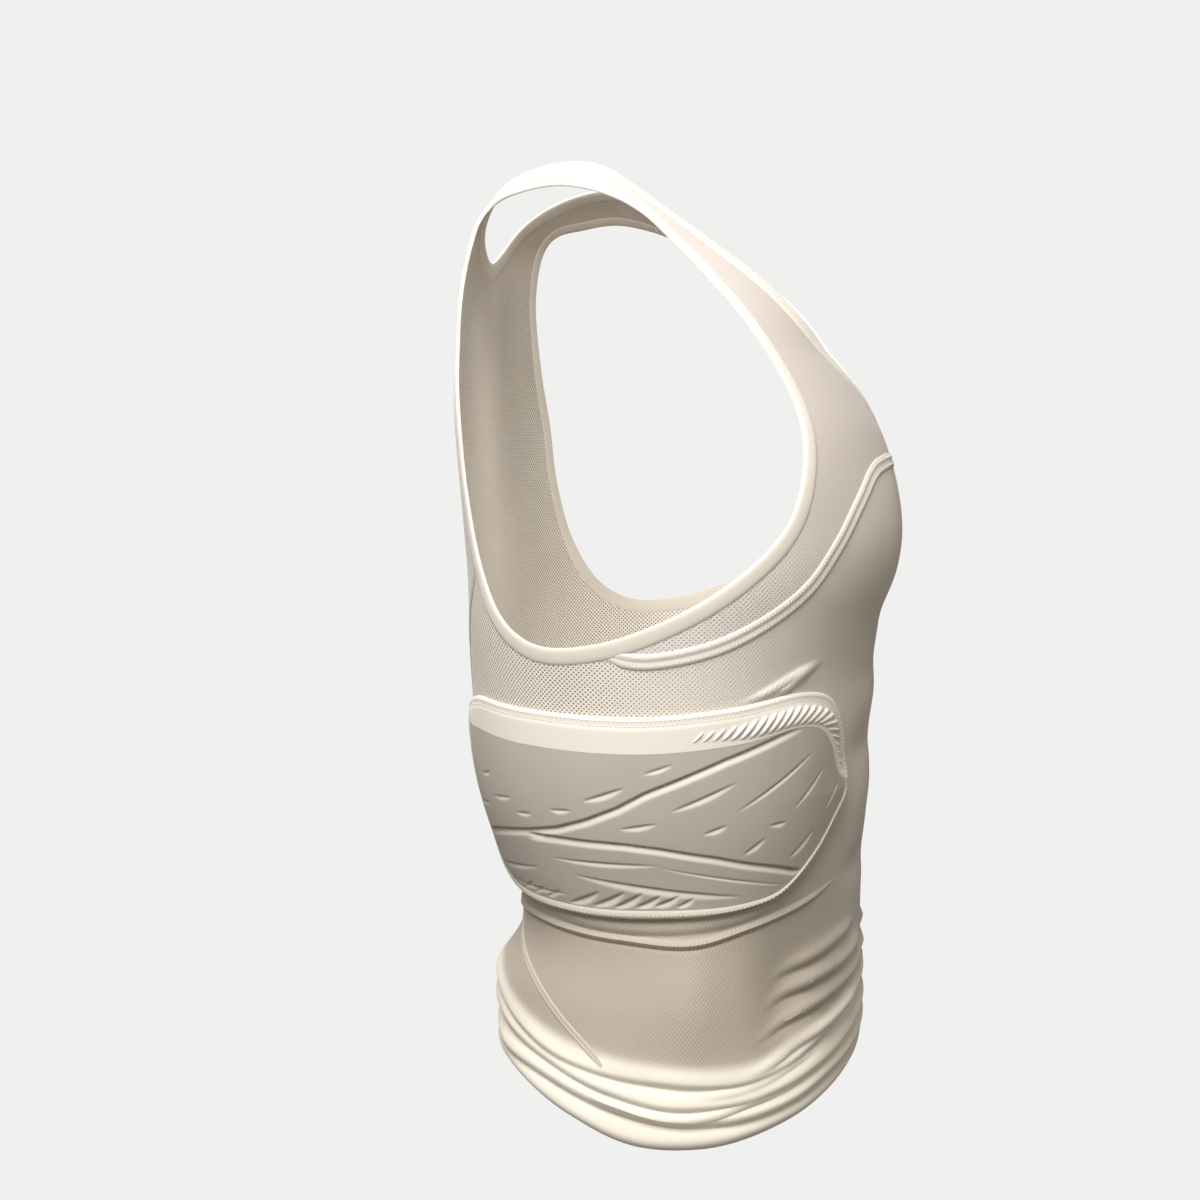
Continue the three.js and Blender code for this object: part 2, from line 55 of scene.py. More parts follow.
ARM_BINDING = dict(width=9.0, low=-0.4, high=2.3)
NECK_BINDING = dict(width=11.0, low=-0.4, high=2.3)
# A seam's two ends sink into the cloth over the lengths under sinks, a side seam's top end first.
CHEST_SEAM = dict(width=9.6, thick=1.0, sinks=(16, 16))
SIDE_SEAM = dict(width=4.6, thick=0.7, sinks=(6, 18))
PAD = dict(rim=3.6, thick=6.0, shoulder=45.0)
# A border is a bead where it is narrow, and flat with a stitched margin where it is wide. The pairs are
# widths between which it changes; where it is narrow it takes painted shade.
PAD_BORDER = dict(outer=2.8, outer_on_top=1.5, thick=3.6, rounding=1.5, edge_drop=0.7, margin=6.0,
                  margin_drop=0.4, margin_edge=1.2, bead=1.0, lowers=(12, 18), flattens=(9, 15),
                  margin_starts=(9, 14), dull_ends=(5, 14), wide=9, crowding=1.3)

# How many steps the mesh has along each edge and across each piece.
COUNT = dict(neck_front=70, middle=14, chest=80, yoke=30, underarm=20, neck_back=46, spine=60, back=40,
             outline=760, pad_along=420, pad_down=160, pad_back=8, border=26, chest_line=120)


def rows(columns, *values):
    """The rows of a table, each under the names of its columns."""
    return [dict(zip(columns.split(), row)) for row in values]


# Levels of the top as it is worn: half breadth, middle, front and back, and how square its front and back
# halves are.
SECTIONS = rows(
    "height half_breadth middle front back front_square back_square",
    (20, 36, 4, -28, 40, 2.0, 2.0), (10, 56, 3, -35, 47, 2.0, 2.1), (0, 78, 1, -40, 54, 2.0, 2.3),
    (-12, 100, -3, -50, 60, 2.2, 2.5), (-25, 121, -6, -69, 66, 2.0, 2.6),
    (-42, 138, -10, -101, 70, 1.6, 2.55), (-60, 156, -16, -128, 72, 1.4, 2.5),
    (-80, 170, -23, -139, 73, 1.5, 2.45), (-100, 178, -29, -146, 73, 1.7, 2.4),
    (-125, 184, -36, -162, 73, 1.8, 2.4), (-150, 186, -42, -176, 73, 1.9, 2.4),
    (-175, 185, -46, -184, 73, 2.0, 2.4), (-205, 180, -50, -187, 73, 2.1, 2.4),
    (-235, 175, -52, -185, 72, 2.15, 2.4), (-260, 170, -52, -178, 72, 2.2, 2.4),
    (-285, 165, -52, -172, 72, 2.25, 2.35), (-320, 158, -52, -170, 71, 2.3, 2.3),
    (-360, 150, -54, -169, 66, 2.3, 2.3), (-400, 143, -58, -167, 54, 2.3, 2.3),
    (-440, 140, -62, -165, 41, 2.3, 2.3), (-480, 146, -62, -165, 45, 2.3, 2.3),
    (-520, 154, -60, -164, 54, 2.3, 2.3), (-560, 158, -58, -160, 56, 2.3, 2.3))

# Broad swells and hollows.
SWELLS = rows(
    "angle height span_angle span_height rise",
    (27, -212, 16, 34, 5.0), (0, -205, 9, 60, -4.0), (142, -130, 22, 55, 5.0), (180, -270, 14, 130, -7.0),
    (165, -483, 42, 21, 11.5), (87, -470, 9, 36, 3.5), (82, -468, 5, 40, 2.2), (61, -474, 9, 34, -7.0),
    (16, -262, 15, 12, -2.0), (16, -309, 15, 14, 1.8), (16, -338, 15, 10, -2.4), (16, -370, 15, 14, 1.2),
    (16, -409, 15, 11, -3.2))

# Folds of the cloth: how far each stands out, how far it reaches above and below its ridge, the share of
# its rise that the crease under it sinks, the angles between which it is full, over how many degrees it
# fades beyond them, and its ridge from back to front.
FADED_REACH = 0.65        # share of its reach that a fold keeps where it has faded
CREASE_AT = 2.2           # how far below the ridge the crease lies, in reaches below
FOLDS = rows(
    "rise above below crease back front fade ridge",
    (1.9, 1.4, 1.2, 0.25, 147, 58, 22,
     [(147, -438), (129, -435), (100, -437), (81, -437), (70, -430), (54, -420), (40, -412)]),
    (1.6, 3.5, 2.0, 0.3, 110, 70, 16,
     [(120, -428), (95, -430), (75, -425), (58, -415)]),
    (2.5, 7.5, 2.4, 0.35, 180, 0, 20,
     [(180, -484), (155, -483), (129, -495), (109, -506), (99, -510), (88, -512), (70, -513), (60, -509),
      (48, -500), (25, -491), (0, -488)]),
    (3.1, 6.0, 2.4, 0.35, 180, 0, 20,
     [(180, -499), (155, -497), (133, -502), (117, -508), (98, -520), (88, -525), (78, -525), (58, -519),
      (45, -513), (25, -507), (0, -505)]),
    (3.0, 5.0, 2.4, 0.35, 180, 0, 20,
     [(180, -512), (155, -510), (137, -514), (117, -517), (98, -528), (88, -533), (78, -534), (58, -529),
      (45, -523), (25, -519), (0, -518)]),
    (2.6, 5.0, 2.2, 0.3, 52, 20, 16,
     [(70, -484), (61, -473), (51, -467), (30, -463), (0, -460)]),
    (2.1, 5.0, 2.2, 0.3, 50, 34, 16,
     [(68, -468), (59, -458), (50, -453), (36, -448), (20, -445)]),
    (2.4, 4.5, 2.2, 0.3, 54, 10, 16,
     [(72, -500), (62, -489), (50, -481), (19, -475), (0, -473)]),
    (1.9, 3.5, 2.0, 0.3, 58, 30, 14,
     [(74, -514), (66, -509), (56, -500), (42, -493), (10, -486)]),
    (1.2, 2.4, 1.6, 0.3, 92, 76, 16,
     [(112, -518), (96, -529), (84, -533), (68, -526)]),
    (2.6, 6.5, 2.5, 0.0, 180, 0, 20,
     [(180, -525), (150, -521), (124, -524), (108, -534.5), (93, -545.5), (80, -546), (61, -539),
      (33, -530), (0, -527)]),
    (1.4, 3.0, 1.6, 0.2, 74, 56, 10,
     [(88, -520), (76, -520), (66, -517), (54, -510), (40, -502)]),
    (1.3, 2.6, 1.6, 0.2, 76, 60, 9,
     [(92, -531), (78, -531), (68, -527), (58, -523), (44, -515)]))
# Folds pulled out of the cloth by a rib pad's front corner; they start from the pad's edge.
PULL_STARTS_OVER = 3
PULLS = rows(
    "rise above below crease back front fade ridge",
    (2.6, 2.8, 1.9, 0.35, 61, 57, 8,
     [(70, -306), (66, -302), (63, -298), (59.5, -292.5), (56, -287), (51, -281), (46, -276)]),
    (1.6, 2.6, 1.9, 0.3, 65, 58, 9,
     [(74, -305), (68, -299), (63, -292.5), (58, -286), (52, -280), (46, -274)]))

# Heights of a row of the mesh at the front middle, the side seam and the back middle.
ROWS = rows(
    "front side back",
    (-167, -231, -222), (-205, -258, -255), (-242, -287, -285), (-278, -315, -315), (-313, -341, -342),
    (-345, -366, -368), (-375, -390, -391), (-398, -407, -408))
# Heights at the front middle between which the panels have so many rows, down to the pads' lower part.
LEVELS = [(-167, -225, 18), (-225, -292, 42), (-292, -375, 24)]
# Below that rows follow folds, named by their order above, and then the hem: the rows down to each and
# how much they crowd towards the folds.
FOLLOWED = rows(
    "fold count crowding",
    (0, 30, 0.75), (2, 60, 0.5), (3, 16, 0.3), (4, 14, 0.3), (None, 13, 0.3))
# Angles between which the front's columns stand closer, and how many times.
PULLED = (44, 76, 2.6)
# Rows bend with a panel's top edge less and less, down to this distance below it.
TOP_EASE = dict(reach=177.0, power=1.6)
# Heights between which the lower rows meet the side seam, and how often that span is halved.
SEARCH = dict(low=-600.0, high=-300.0, halvings=40)
# The hem's turned-in edge.
HEM_TUCK = dict(depth=0.6, reach=1.0)

# Edges and seams of the right side. An end or ridge is named by its order in the line.
SEAM_TOP = (127, -222)
ARMHOLE = [(90, -10), (70, -26), (59, -62), (53, -102), (52, -135), (55, -168), (61, -201), (73, -232),
           (86, -254), (98, -266), (110, -268), (119, -255), SEAM_TOP, (130, -185), (130, -140),
           (131, -95), (130, -55), (124, -22), (109, -12)]
ARMHOLE_FRONT_END = 9
ARMHOLE_BACK_END = 12
NECK_RIGHT = [(180, -42), (163, -33), (143, -12), (118, 4), (93, 9), (72, 4), (57, -17), (43, -42),
              (32, -63), (20, -96), (0, -131)]
NECK_RIDGE = 4
CHEST = [(0, -167), (17, -168), (30, -174), (40, -191), (48, -213), (56, -236), (66, -255), (76, -268),
         (88, -275)]
CHEST_CURL = [(93, -273.5), (96.5, -269.5)]
SIDE = [SEAM_TOP, (149, -290), (157, -350), (157, -410), (147, -452), (126, -470), (110, -492),
        (98, -515), (93, -547)]
SIDE_SEAM_FOOT = -511
HEM = [(180, -529), (150, -525), (124, -527), (108, -537.5), (93, -549.5), (80, -550), (61, -543),
       (33, -534), (0, -531)]

# Outer edge of a rib pad's border and the border's width there.
PAD_OUTLINE = [(37.5, -357, 4), (36.5, -342, 15), (39, -318, 19), (45, -301, 20), (55, -295, 19),
               (72, -301, 20), (90, -306, 20), (115, -305, 20), (136, -305, 18), (147, -316, 12),
               (151, -365, 8), (147, -406, 7), (136, -418, 6), (112, -424, 6), (88, -423, 6),
               (70, -418, 5), (61, -410, 3), (51, -391, 2.5), (43, -371, 2.5)]
PAD_BACK_TIP = 10
PAD_TOP_EDGE = slice(2, 8)

# Flex lines sunk into a pad: a steep upper flank and a slow lower one.
FLEX_LINES = rows(
    "depth above below path",
    (2.2, 1.4, 3.8,
     [(141, -386), (129, -380), (117, -375), (109, -371), (102, -365), (95, -357), (89, -348), (83, -341),
      (78, -335), (73, -329), (68, -324), (62, -318), (57, -313)]),
    (2.2, 1.4, 3.8,
     [(119, -378), (110, -377), (95, -378), (87, -380), (76, -385), (70, -389), (63, -393), (56, -398)]))
# Slits pressed into a pad's face, widest in the middle.
SLITS = rows(
    "angle1 height1 angle2 height2 depth below",
    (102, -354, 93, -345, 1.3, 3.2), (110, -361, 105, -360, 0.9, 2.4), (89, -337, 83, -331, 0.9, 2.2),
    (84, -358, 71, -342, 1.2, 3.0), (95, -369, 87, -365, 1.0, 2.8), (71, -359, 53, -329, 1.1, 1.6),
    (58, -360, 49, -339, 1.0, 1.8), (64, -368, 60, -367, 0.9, 2.4), (78, -371, 73, -366, 1.0, 2.6),
    (59, -389, 52, -375, 1.2, 2.6), (70, -384, 65, -375, 1.0, 2.4), (48, -364, 43, -350, 0.9, 2.2),
    (112, -390, 88, -390, 1.0, 2.6), (107, -399, 71, -409, 1.5, 4.6), (88, -391, 60, -405, 0.7, 1.2),
    (131, -412, 110, -412, 0.9, 2.4), (138, -405, 117, -398, 1.0, 2.6), (133, -349, 128, -346, 0.8, 2.2),
    (128, -360, 121, -358, 0.8, 2.2), (120, -366, 115, -365, 0.8, 2.2), (140, -368, 132, -366, 0.8, 2.0),
    (110, -417, 102, -408, 2.0, 4.2), (104, -417, 96, -407, 2.0, 4.2), (99, -417, 92, -407, 2.0, 4.0),
    (94, -416, 88, -408, 2.0, 3.8), (90, -415, 84, -408, 1.8, 3.4), (85, -415, 81, -409, 1.4, 2.8),
    (127, -415, 121, -409, 1.0, 2.4), (122, -416, 117, -410, 1.0, 2.4), (117, -416, 112, -410, 1.0, 2.4))
# Flex lines start over a share of their length, furrows clear the rim, and slits taper to a least width and
# take a share of painted shade on their upper flanks.
FURROW = dict(flank_power=1.3, starts=0.06, clear=3, slit_clear=1.5, slit_above=1.1, slit_taper=0.7,
              least=0.2, slit_shade=0.15)
# Painted shade: a pad's film is darker towards its foot.
FOOT_SHADE = dict(share=0.25, heights=(-360, -400))


class Profile:
    """Smooth interpolation through rows of numbers against their first column."""

    def __init__(self, values):
        table = np.array(sorted(values), float)
        self.at, self.values = table[:, 0], table[:, 1:]
        span = np.diff(self.at)[:, None]
        rate = np.diff(self.values, axis=0) / span
        inner = (rate[:-1] * span[1:] + rate[1:] * span[:-1]) / (span[1:] + span[:-1])
        self.slopes = np.vstack([rate[:1], inner, rate[-1:]])

    def __call__(self, key):
        key = np.asarray(key, float)
        i = np.clip(np.searchsorted(self.at, key) - 1, 0, len(self.at) - 2)
        span = (self.at[i + 1] - self.at[i])[..., None]
        t = np.clip((key - self.at[i])[..., None] / span, 0, 1)
        return (self.values[i] * (1 + 2 * t) * (1 - t) ** 2 + self.slopes[i] * span * t * (1 - t) ** 2
                + self.values[i + 1] * t * t * (3 - 2 * t) + self.slopes[i + 1] * span * t * t * (t - 1))


def ease(low, high, value):
    """A smooth step from 0 to 1 as a value goes from one limit to the other."""
    t = np.clip((np.asarray(value, float) - low) / (high - low), 0, 1)
    return t * t * (3 - 2 * t)


def from_share(least, share):
    """A share that starts from a least value."""
    return least + (1 - least) * share


worn_form = Profile([tuple(row.values()) for row in SECTIONS])


def level_line(stations):
    """A line round the top, level where it meets its mirror image at the front and back middle."""
    line = sorted(stations)
    front = [(-line[1][0], line[1][1])] if line[0][0] == 0 else []
    back = [(360 - line[-2][0], line[-2][1])] if line[-1][0] == 180 else []
    return Profile(front + line + back)


ridges = [level_line(fold["ridge"]) for fold in FOLDS]
pull_ridges = [level_line(fold["ridge"]) for fold in PULLS]
hem_line = level_line(HEM)
pad_top = Profile([station[:2] for station in PAD_OUTLINE[PAD_TOP_EDGE]])


def roll(fold, ridge, side, height):
    """How far a fold stands out at a place, above the crease under it."""
    beyond = np.maximum(side - fold["back"], fold["front"] - side)
    up = height - ridge(side)[..., 0]
    full = 1 - ease(0, fold["fade"], beyond)
    above, below = (fold[reach] * from_share(FADED_REACH, full) for reach in ("above", "below"))
    swell = np.exp(-(up / np.where(up > 0, above, below)) ** 2)
    return fold["rise"] * full * (swell - fold["crease"] * np.exp(-(up / below + CREASE_AT) ** 2))


def relief(angle, height):
    """How far swells, folds and the turned-in hem move the cloth out at a place."""
    side = np.abs((angle + 180) % 360 - 180)
    rise = np.zeros(np.broadcast(angle, height).shape)
    for swell in SWELLS:
        across = (side - swell["angle"]) / swell["span_angle"]
        up = (height - swell["height"]) / swell["span_height"]
        rise += swell["rise"] * np.exp(-across ** 2 - up ** 2)
    for fold, ridge in zip(FOLDS, ridges):
        rise += roll(fold, ridge, side, height)
    clear_of_pad = ease(0, PULL_STARTS_OVER, height - pad_top(side)[..., 0])
    for fold, ridge in zip(PULLS, pull_ridges):
        rise += clear_of_pad * roll(fold, ridge, side, height)
    above_hem = np.maximum(height - hem_line(side)[..., 0], 0) / HEM_TUCK["reach"]
    return rise - HEM_TUCK["depth"] * np.exp(-above_hem ** 2)


def skin(place):
    """The inner face of the cloth."""
    angle, height = place[..., 0], place[..., 1]
    half_breadth, middle, front, back, front_square, back_square = np.moveaxis(worn_form(height), -1, 0)
    sin, cos = np.sin(np.radians(angle)), np.cos(np.radians(angle))
    depth = np.where(cos > 0, middle - front, back - middle)
    square = np.where(cos > 0, front_square, back_square)
    total = (np.abs(sin) / half_breadth) ** square + (np.abs(cos) / depth) ** square
    radius = total ** (-1 / square) + relief(angle, height)
    return np.stack([-radius * sin, middle - radius * cos, height], -1)


def unit(vectors):
    return vectors / np.maximum(np.linalg.norm(vectors, axis=-1, keepdims=True), 1e-12)


def lie(place):
    """The surface's two slopes and its outward normal at a place."""
    turn, climb = np.array([STEP, 0]), np.array([0, STEP])
    around = (skin(place + turn) - skin(place - turn)) / (2 * STEP)
    up = (skin(place + climb) - skin(place - climb)) / (2 * STEP)
    return around, up, unit(np.cross(up, around))


def lifted(place, lift):
    """The point over a place at a lift."""
    return skin(place) + lie(place)[2] * np.asarray(lift, float)[..., None]


def moved(place, move):
    """The place reached from another by a short move along the surface."""
    around, up, _ = lie(place)
    dot = lambda a, b: (a * b).sum(-1)
    aa, au, uu, ma, mu = dot(around, around), dot(around, up), dot(up, up), dot(move, around), dot(move, up)
    det = aa * uu - au * au
    return place + np.stack([(ma * uu - mu * au) / det, (mu * aa - ma * au) / det], -1)


def sideways(path, closed):
    """Unit sideways directions along a path, mitred at its bends."""
    here, out = skin(path), lie(path)[2]
    ahead, behind = np.roll(here, -1, 0) - here, here - np.roll(here, 1, 0)
    if not closed:
        ahead[-1], behind[0] = behind[-1], ahead[0]
    first, second = unit(np.cross(out, behind)), unit(np.cross(out, ahead))
    mitre = unit(first + second)
    return mitre / (mitre * first).sum(-1, keepdims=True)


def offset(path, distance, closed=False):
    """A path moved sideways along the surface."""
    return moved(path, sideways(path, closed) * np.broadcast_to(distance, len(path))[:, None])


def mirrored(path):
    return path * np.array([-1, 1])


# Each side's name, how a path of the right side is turned to it, and which way is inward there.
SIDES = (("right", lambda path: path, 1), ("left", mirrored, -1))


def run_of(points):
    """The distance along a row of points to each of them."""
    return np.concatenate([[0], np.cumsum(np.linalg.norm(np.diff(points, axis=0), axis=1))])


def picked(path, reach, want):
    """Places of a path at wanted distances along it."""
    return np.stack([np.interp(want, reach, column) for column in path.T], -1)


def along(stations, first, last, count, closed=False):
    """Evenly spaced places on the smooth curve through stations, with any third column beside them."""
    knots = np.array(stations, float)
    knots[:, 0] *= MM_PER_DEGREE
    total = len(knots)
    if not closed:
        knots = np.vstack([2 * knots[0] - knots[1], knots, 2 * knots[-1] - knots[-2]])
    at = np.linspace(first, last, FINE * (last - first) + 1)
    i = np.minimum(np.floor(at).astype(int), total - 1 if closed else total - 2)
    t = (at - i)[:, None]
    p0, p1, p2, p3 = (knots[(i + k - 1) % total] if closed else knots[i + k] for k in range(4))
    d0, d1, d2 = (np.sqrt(np.linalg.norm(b - a, axis=1))[:, None] for a, b in ((p0, p1), (p1, p2), (p2, p3)))
    m1 = ((p1 - p0) / d0 - (p2 - p0) / (d0 + d1) + (p2 - p1) / d1) * d1
    m2 = ((p2 - p1) / d1 - (p3 - p1) / (d1 + d2) + (p3 - p2) / d2) * d1
    dots = (p1 * (1 + 2 * t) * (1 - t) ** 2 + m1 * t * (1 - t) ** 2
            + p2 * t * t * (3 - 2 * t) + m2 * t * t * (t - 1))
    dots[:, 0] /= MM_PER_DEGREE
    reach = run_of(skin(dots[:, :2]))
    return picked(dots, reach, np.linspace(0, reach[-1], count + 1))


def straight(start, end, shares):
    return start + (end - start) * np.asarray(shares, float)[:, None]


def crowded(path, count, low, high, times):
    """Places along a path, so many times closer together between two angles."""
    weight = np.where((path[1:, 0] > low) & (path[1:, 0] < high), times, 1.0)
    reach = np.concatenate([[0], np.cumsum(weight)])
    return picked(path, reach, np.linspace(0, reach[-1], count + 1))


def patch(top, left, right, like_top, shares):
    """Places under a top edge: rows run from left to right by shares and bend with the top."""
    across = shares[None, :, None]
    bend = (top - straight(top[0], top[-1], shares))[None]
    return left[:, None] * (1 - across) + right[:, None] * across + like_top[:, None, None] * bend


class Cloth:
    """A wall over a mesh of places."""

    def __init__(self, *grids):
        self.places, self.faces = [], []
        for grid in grids:
            start = sum(len(p) for p in self.places)
            ids = start + np.arange(grid.shape[0] * grid.shape[1]).reshape(grid.shape[:2])
            self.places.append(grid.reshape(-1, 2))
            corners = [ids[:-1, :-1], ids[:-1, 1:], ids[1:, 1:], ids[1:, :-1]]
            self.faces.append(np.stack(corners, -1).reshape(-1, 4))
        places = np.concatenate(self.places)
        places[:, 0] = np.where(places[:, 0] <= 1e-6 - 180, places[:, 0] + 360, places[:, 0])
        _, first, same = np.unique(np.round(places, 3), axis=0, return_index=True, return_inverse=True)
        self.places = places[first]
        self.faces = same.ravel()[np.concatenate(self.faces)]

    def wall(self, inner, outer):
        """Points, faces and the place of each point, for lifts of the inner and outer face."""
        count = len(self.places)
        points = np.concatenate([lifted(self.places, np.broadcast_to(outer, count)),
                                 lifted(self.places, np.broadcast_to(inner, count))])
        front = [tuple(dict.fromkeys(face)) for face in self.faces.tolist()]
        front = [face for face in front if len(face) > 2]
        sides = {(a, b) for face in front for a, b in zip(face, face[1:] + face[:1])}
        rim = [(b, a, a + count, b + count) for a, b in sides if (b, a) not in sides]
        back = [tuple(i + count for i in reversed(face)) for face in front]
        return points, front + back + sorted(rim), np.concatenate([self.places, self.places])


def both_sides(grid):
    """A grid of the right side and its mirror image."""
    return grid, mirrored(grid)[:, ::-1]


def loft(places, lifts, closed):
    """A solid through sections, each a ring of places with lifts."""
    count, corners = places.shape[:2]
    points = lifted(places, np.broadcast_to(lifts, (count, corners))).reshape(-1, 3)
    ids = np.arange(count * corners).reshape(count, corners)
    far = np.roll(ids, -1, 0)
    near, far = (ids, far) if closed else (ids[:-1], far[:-1])
    faces = np.stack([near, np.roll(near, -1, 1), np.roll(far, -1, 1), far], -1).reshape(-1, 4).tolist()
    if not closed:
        faces += [ids[0, ::-1].tolist(), ids[-1].tolist()]
    return points, [tuple(face) for face in faces], places.reshape(-1, 2)


def ribbon(path, sides, lifts, closed):
    """A solid strip along a path: corners of its section, as distances to the side and lifts."""
    sides = np.broadcast_to(sides, (len(path), np.shape(sides)[-1]))
    across = sideways(path, closed)[:, None] * sides[..., None]
    return loft(moved(np.repeat(path[:, None], sides.shape[1], 1), across), lifts, closed)


def rounded(width, low, high, count=9, square=3.0):
    """The section of a soft band: its corners as distances to the side and lifts."""
    turn = np.linspace(0, 2 * math.pi, 2 * count, endpoint=False)
    bulge = lambda wave: np.sign(wave) * np.abs(wave) ** (2 / square)
    return (width / 2 * (1 - bulge(np.cos(turn))), (high + low) / 2 + (high - low) / 2 * bulge(np.sin(turn)))


def piece(name, shape, finish, nodes, slot, sharp=40, **fields):
    """A mesh object of the tank top, with its map in metres and named fields, standing for CAD nodes."""
    points, faces, places = shape
    corner = [points[[face[k] for face in faces]] for k in range(3)]
    if (corner[0] * np.cross(corner[1], corner[2])).sum() < 0:
        faces = [face[::-1] for face in faces]
    mesh = bpy.data.meshes.new(name)
    mesh.from_pydata((points * MM).tolist(), [], faces)
    loops = np.concatenate([np.asarray(face) for face in faces])
    size = np.array([len(face) for face in faces])
    owner = np.repeat(np.arange(len(faces)), size)
    angle = places[loops, 0]
    mean = np.bincount(owner, angle) / size
    angle = np.where((angle > 179.9) & (mean[owner] < 90), angle - 360, angle)
    flat = np.stack([angle * MM_PER_DEGREE, places[loops, 1]], -1) * MM
    mesh.uv_layers.new(name="lay").data.foreach_set("uv", flat.ravel())
    for field, values in fields.items():
        mesh.attributes.new(field, "FLOAT", "POINT").data.foreach_set("value", np.asarray(values, np.float32))
    mesh.shade_smooth()
    mesh.set_sharp_from_angle(angle=math.radians(sharp))
    mesh.materials.append(finish)
    made = bpy.data.objects.new(name, mesh)
    bpy.context.scene.collection.objects.link(made)
    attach(made, "root")
    if nodes:
        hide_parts(*nodes)
    return made


class Value:
    """A socket whose arithmetic adds Math nodes."""

    def __init__(self, tree, socket):
        self.tree, self.socket = tree, socket

    def math(self, operation, *others, swap=False):
        values = [*others, self] if swap else [self, *others]
        return self.tree.node("ShaderNodeMath", {"operation": operation}, dict(enumerate(values)))

    def __add__(self, other):
        return self.math("ADD", other)

    def __sub__(self, other):
        return self.math("SUBTRACT", other)

    def __rsub__(self, other):
        return self.math("SUBTRACT", other, swap=True)

    def __mul__(self, other):
        return self.math("MULTIPLY", other)

    __radd__, __rmul__ = __add__, __mul__

    def cos(self):
        return self.math("COSINE")

    def sin(self):
        return self.math("SINE")

    def between(self, low, high):
        return self.tree.node("ShaderNodeMapRange", {"interpolation_type": "SMOOTHSTEP"},
                              {"Value": self, "From Min": low, "From Max": high})


class Tree:
    """A node tree of a finish or of a repeated form."""

    def __init__(self, nodes):
        self.nodes = nodes

    def node(self, kind, settings=None, sockets=None, out=0):
        made = self.nodes.nodes.new(kind)
        for name, value in (settings or {}).items():
            setattr(made, name, value)
        for name, value in (sockets or {}).items():
            if isinstance(value, Value):
                self.nodes.links.new(value.socket, made.inputs[name])
            else:
                made.inputs[name].default_value = value
        return Value(self, made.outputs[out])


class Finish(Tree):
    """A cloth finish: colour, roughness and relief worked out from the piece's own map."""

    def __init__(self, name, mapped=True, **constants):
        self.material = bpy.data.materials.new(name)
        self.material.use_nodes = True
        super().__init__(self.material.node_tree)
        self.shader = self.nodes.nodes["Principled BSDF"]
        for socket, value in constants.items():
            self.shader.inputs[socket.replace("_", " ")].default_value = value
        self.place = (self.node("ShaderNodeUVMap", {"uv_map": "lay"}) if mapped
                      else self.node("ShaderNodeTexCoord", None, None, 3))
        self.u, self.v = (self.node("ShaderNodeSeparateXYZ", None, {0: self.place}, k) for k in (0, 1))

    def field(self, name):
        return self.node("ShaderNodeAttribute", {"attribute_name": name}, None, 2)

    def noise(self, scale, detail=2.0):
        return self.node("ShaderNodeTexNoise", None,
                         {"Vector": self.place, "Scale": scale, "Detail": detail})

    def mix(self, share, first, second):
        return self.node("ShaderNodeMix", {"data_type": "RGBA"}, {0: share, 6: first, 7: second}, 2)

    def wear(self, colour=None, roughness=None, height=None, depth=0.0002, strength=1.0):
        if colour is not None:
            self.nodes.links.new(colour.socket, self.shader.inputs["Base Color"])
        if roughness is not None:
            self.nodes.links.new(roughness.socket, self.shader.inputs["Roughness"])
        if height is not None:
            bump = self.node("ShaderNodeBump", None,
                             {"Strength": strength, "Distance": depth, "Height": height})
            self.nodes.links.new(bump.socket, self.shader.inputs["Normal"])
        return self.material


def tone(red, green, blue):
    """A colour given as it looks, from 0 to 255."""
    linear = lambda c: c / 12.92 if c <= 0.04045 else ((c + 0.055) / 1.055) ** 2.4
    return (*(linear(c / 255) for c in (red, green, blue)), 1.0)


TURN = 2 * math.pi
# Sizes in metres and shares of the knit, the pads' film and the tapes; the film's glint and shade are its
# shares of painted highlight and painted shade.
KNIT = dict(hole_pitch=0.00275, opening=0.7, hole_edge=(0.9, 1.3), hole_shade=0.9, twill_pitch=0.0021,
            slope=0.7, dash_share=0.45, dash_depth=0.4, wobble=3.0, twill_shade=0.25, twill_height=0.4,
            patches=(0.35, 0.75), patch_shade=0.2, relief=0.00025)
FILM = dict(pitch=0.0011, clouds=(0.3, 0.8), cloud_shade=0.35, weave_shade=0.10, glint=0.7, shade=0.4,
            relief=0.0001)
TAPE = dict(pitch=0.0012, rib_shade=0.10, cloud_shade=0.12, relief=0.00006)
THREAD_PITCH = 0.0006


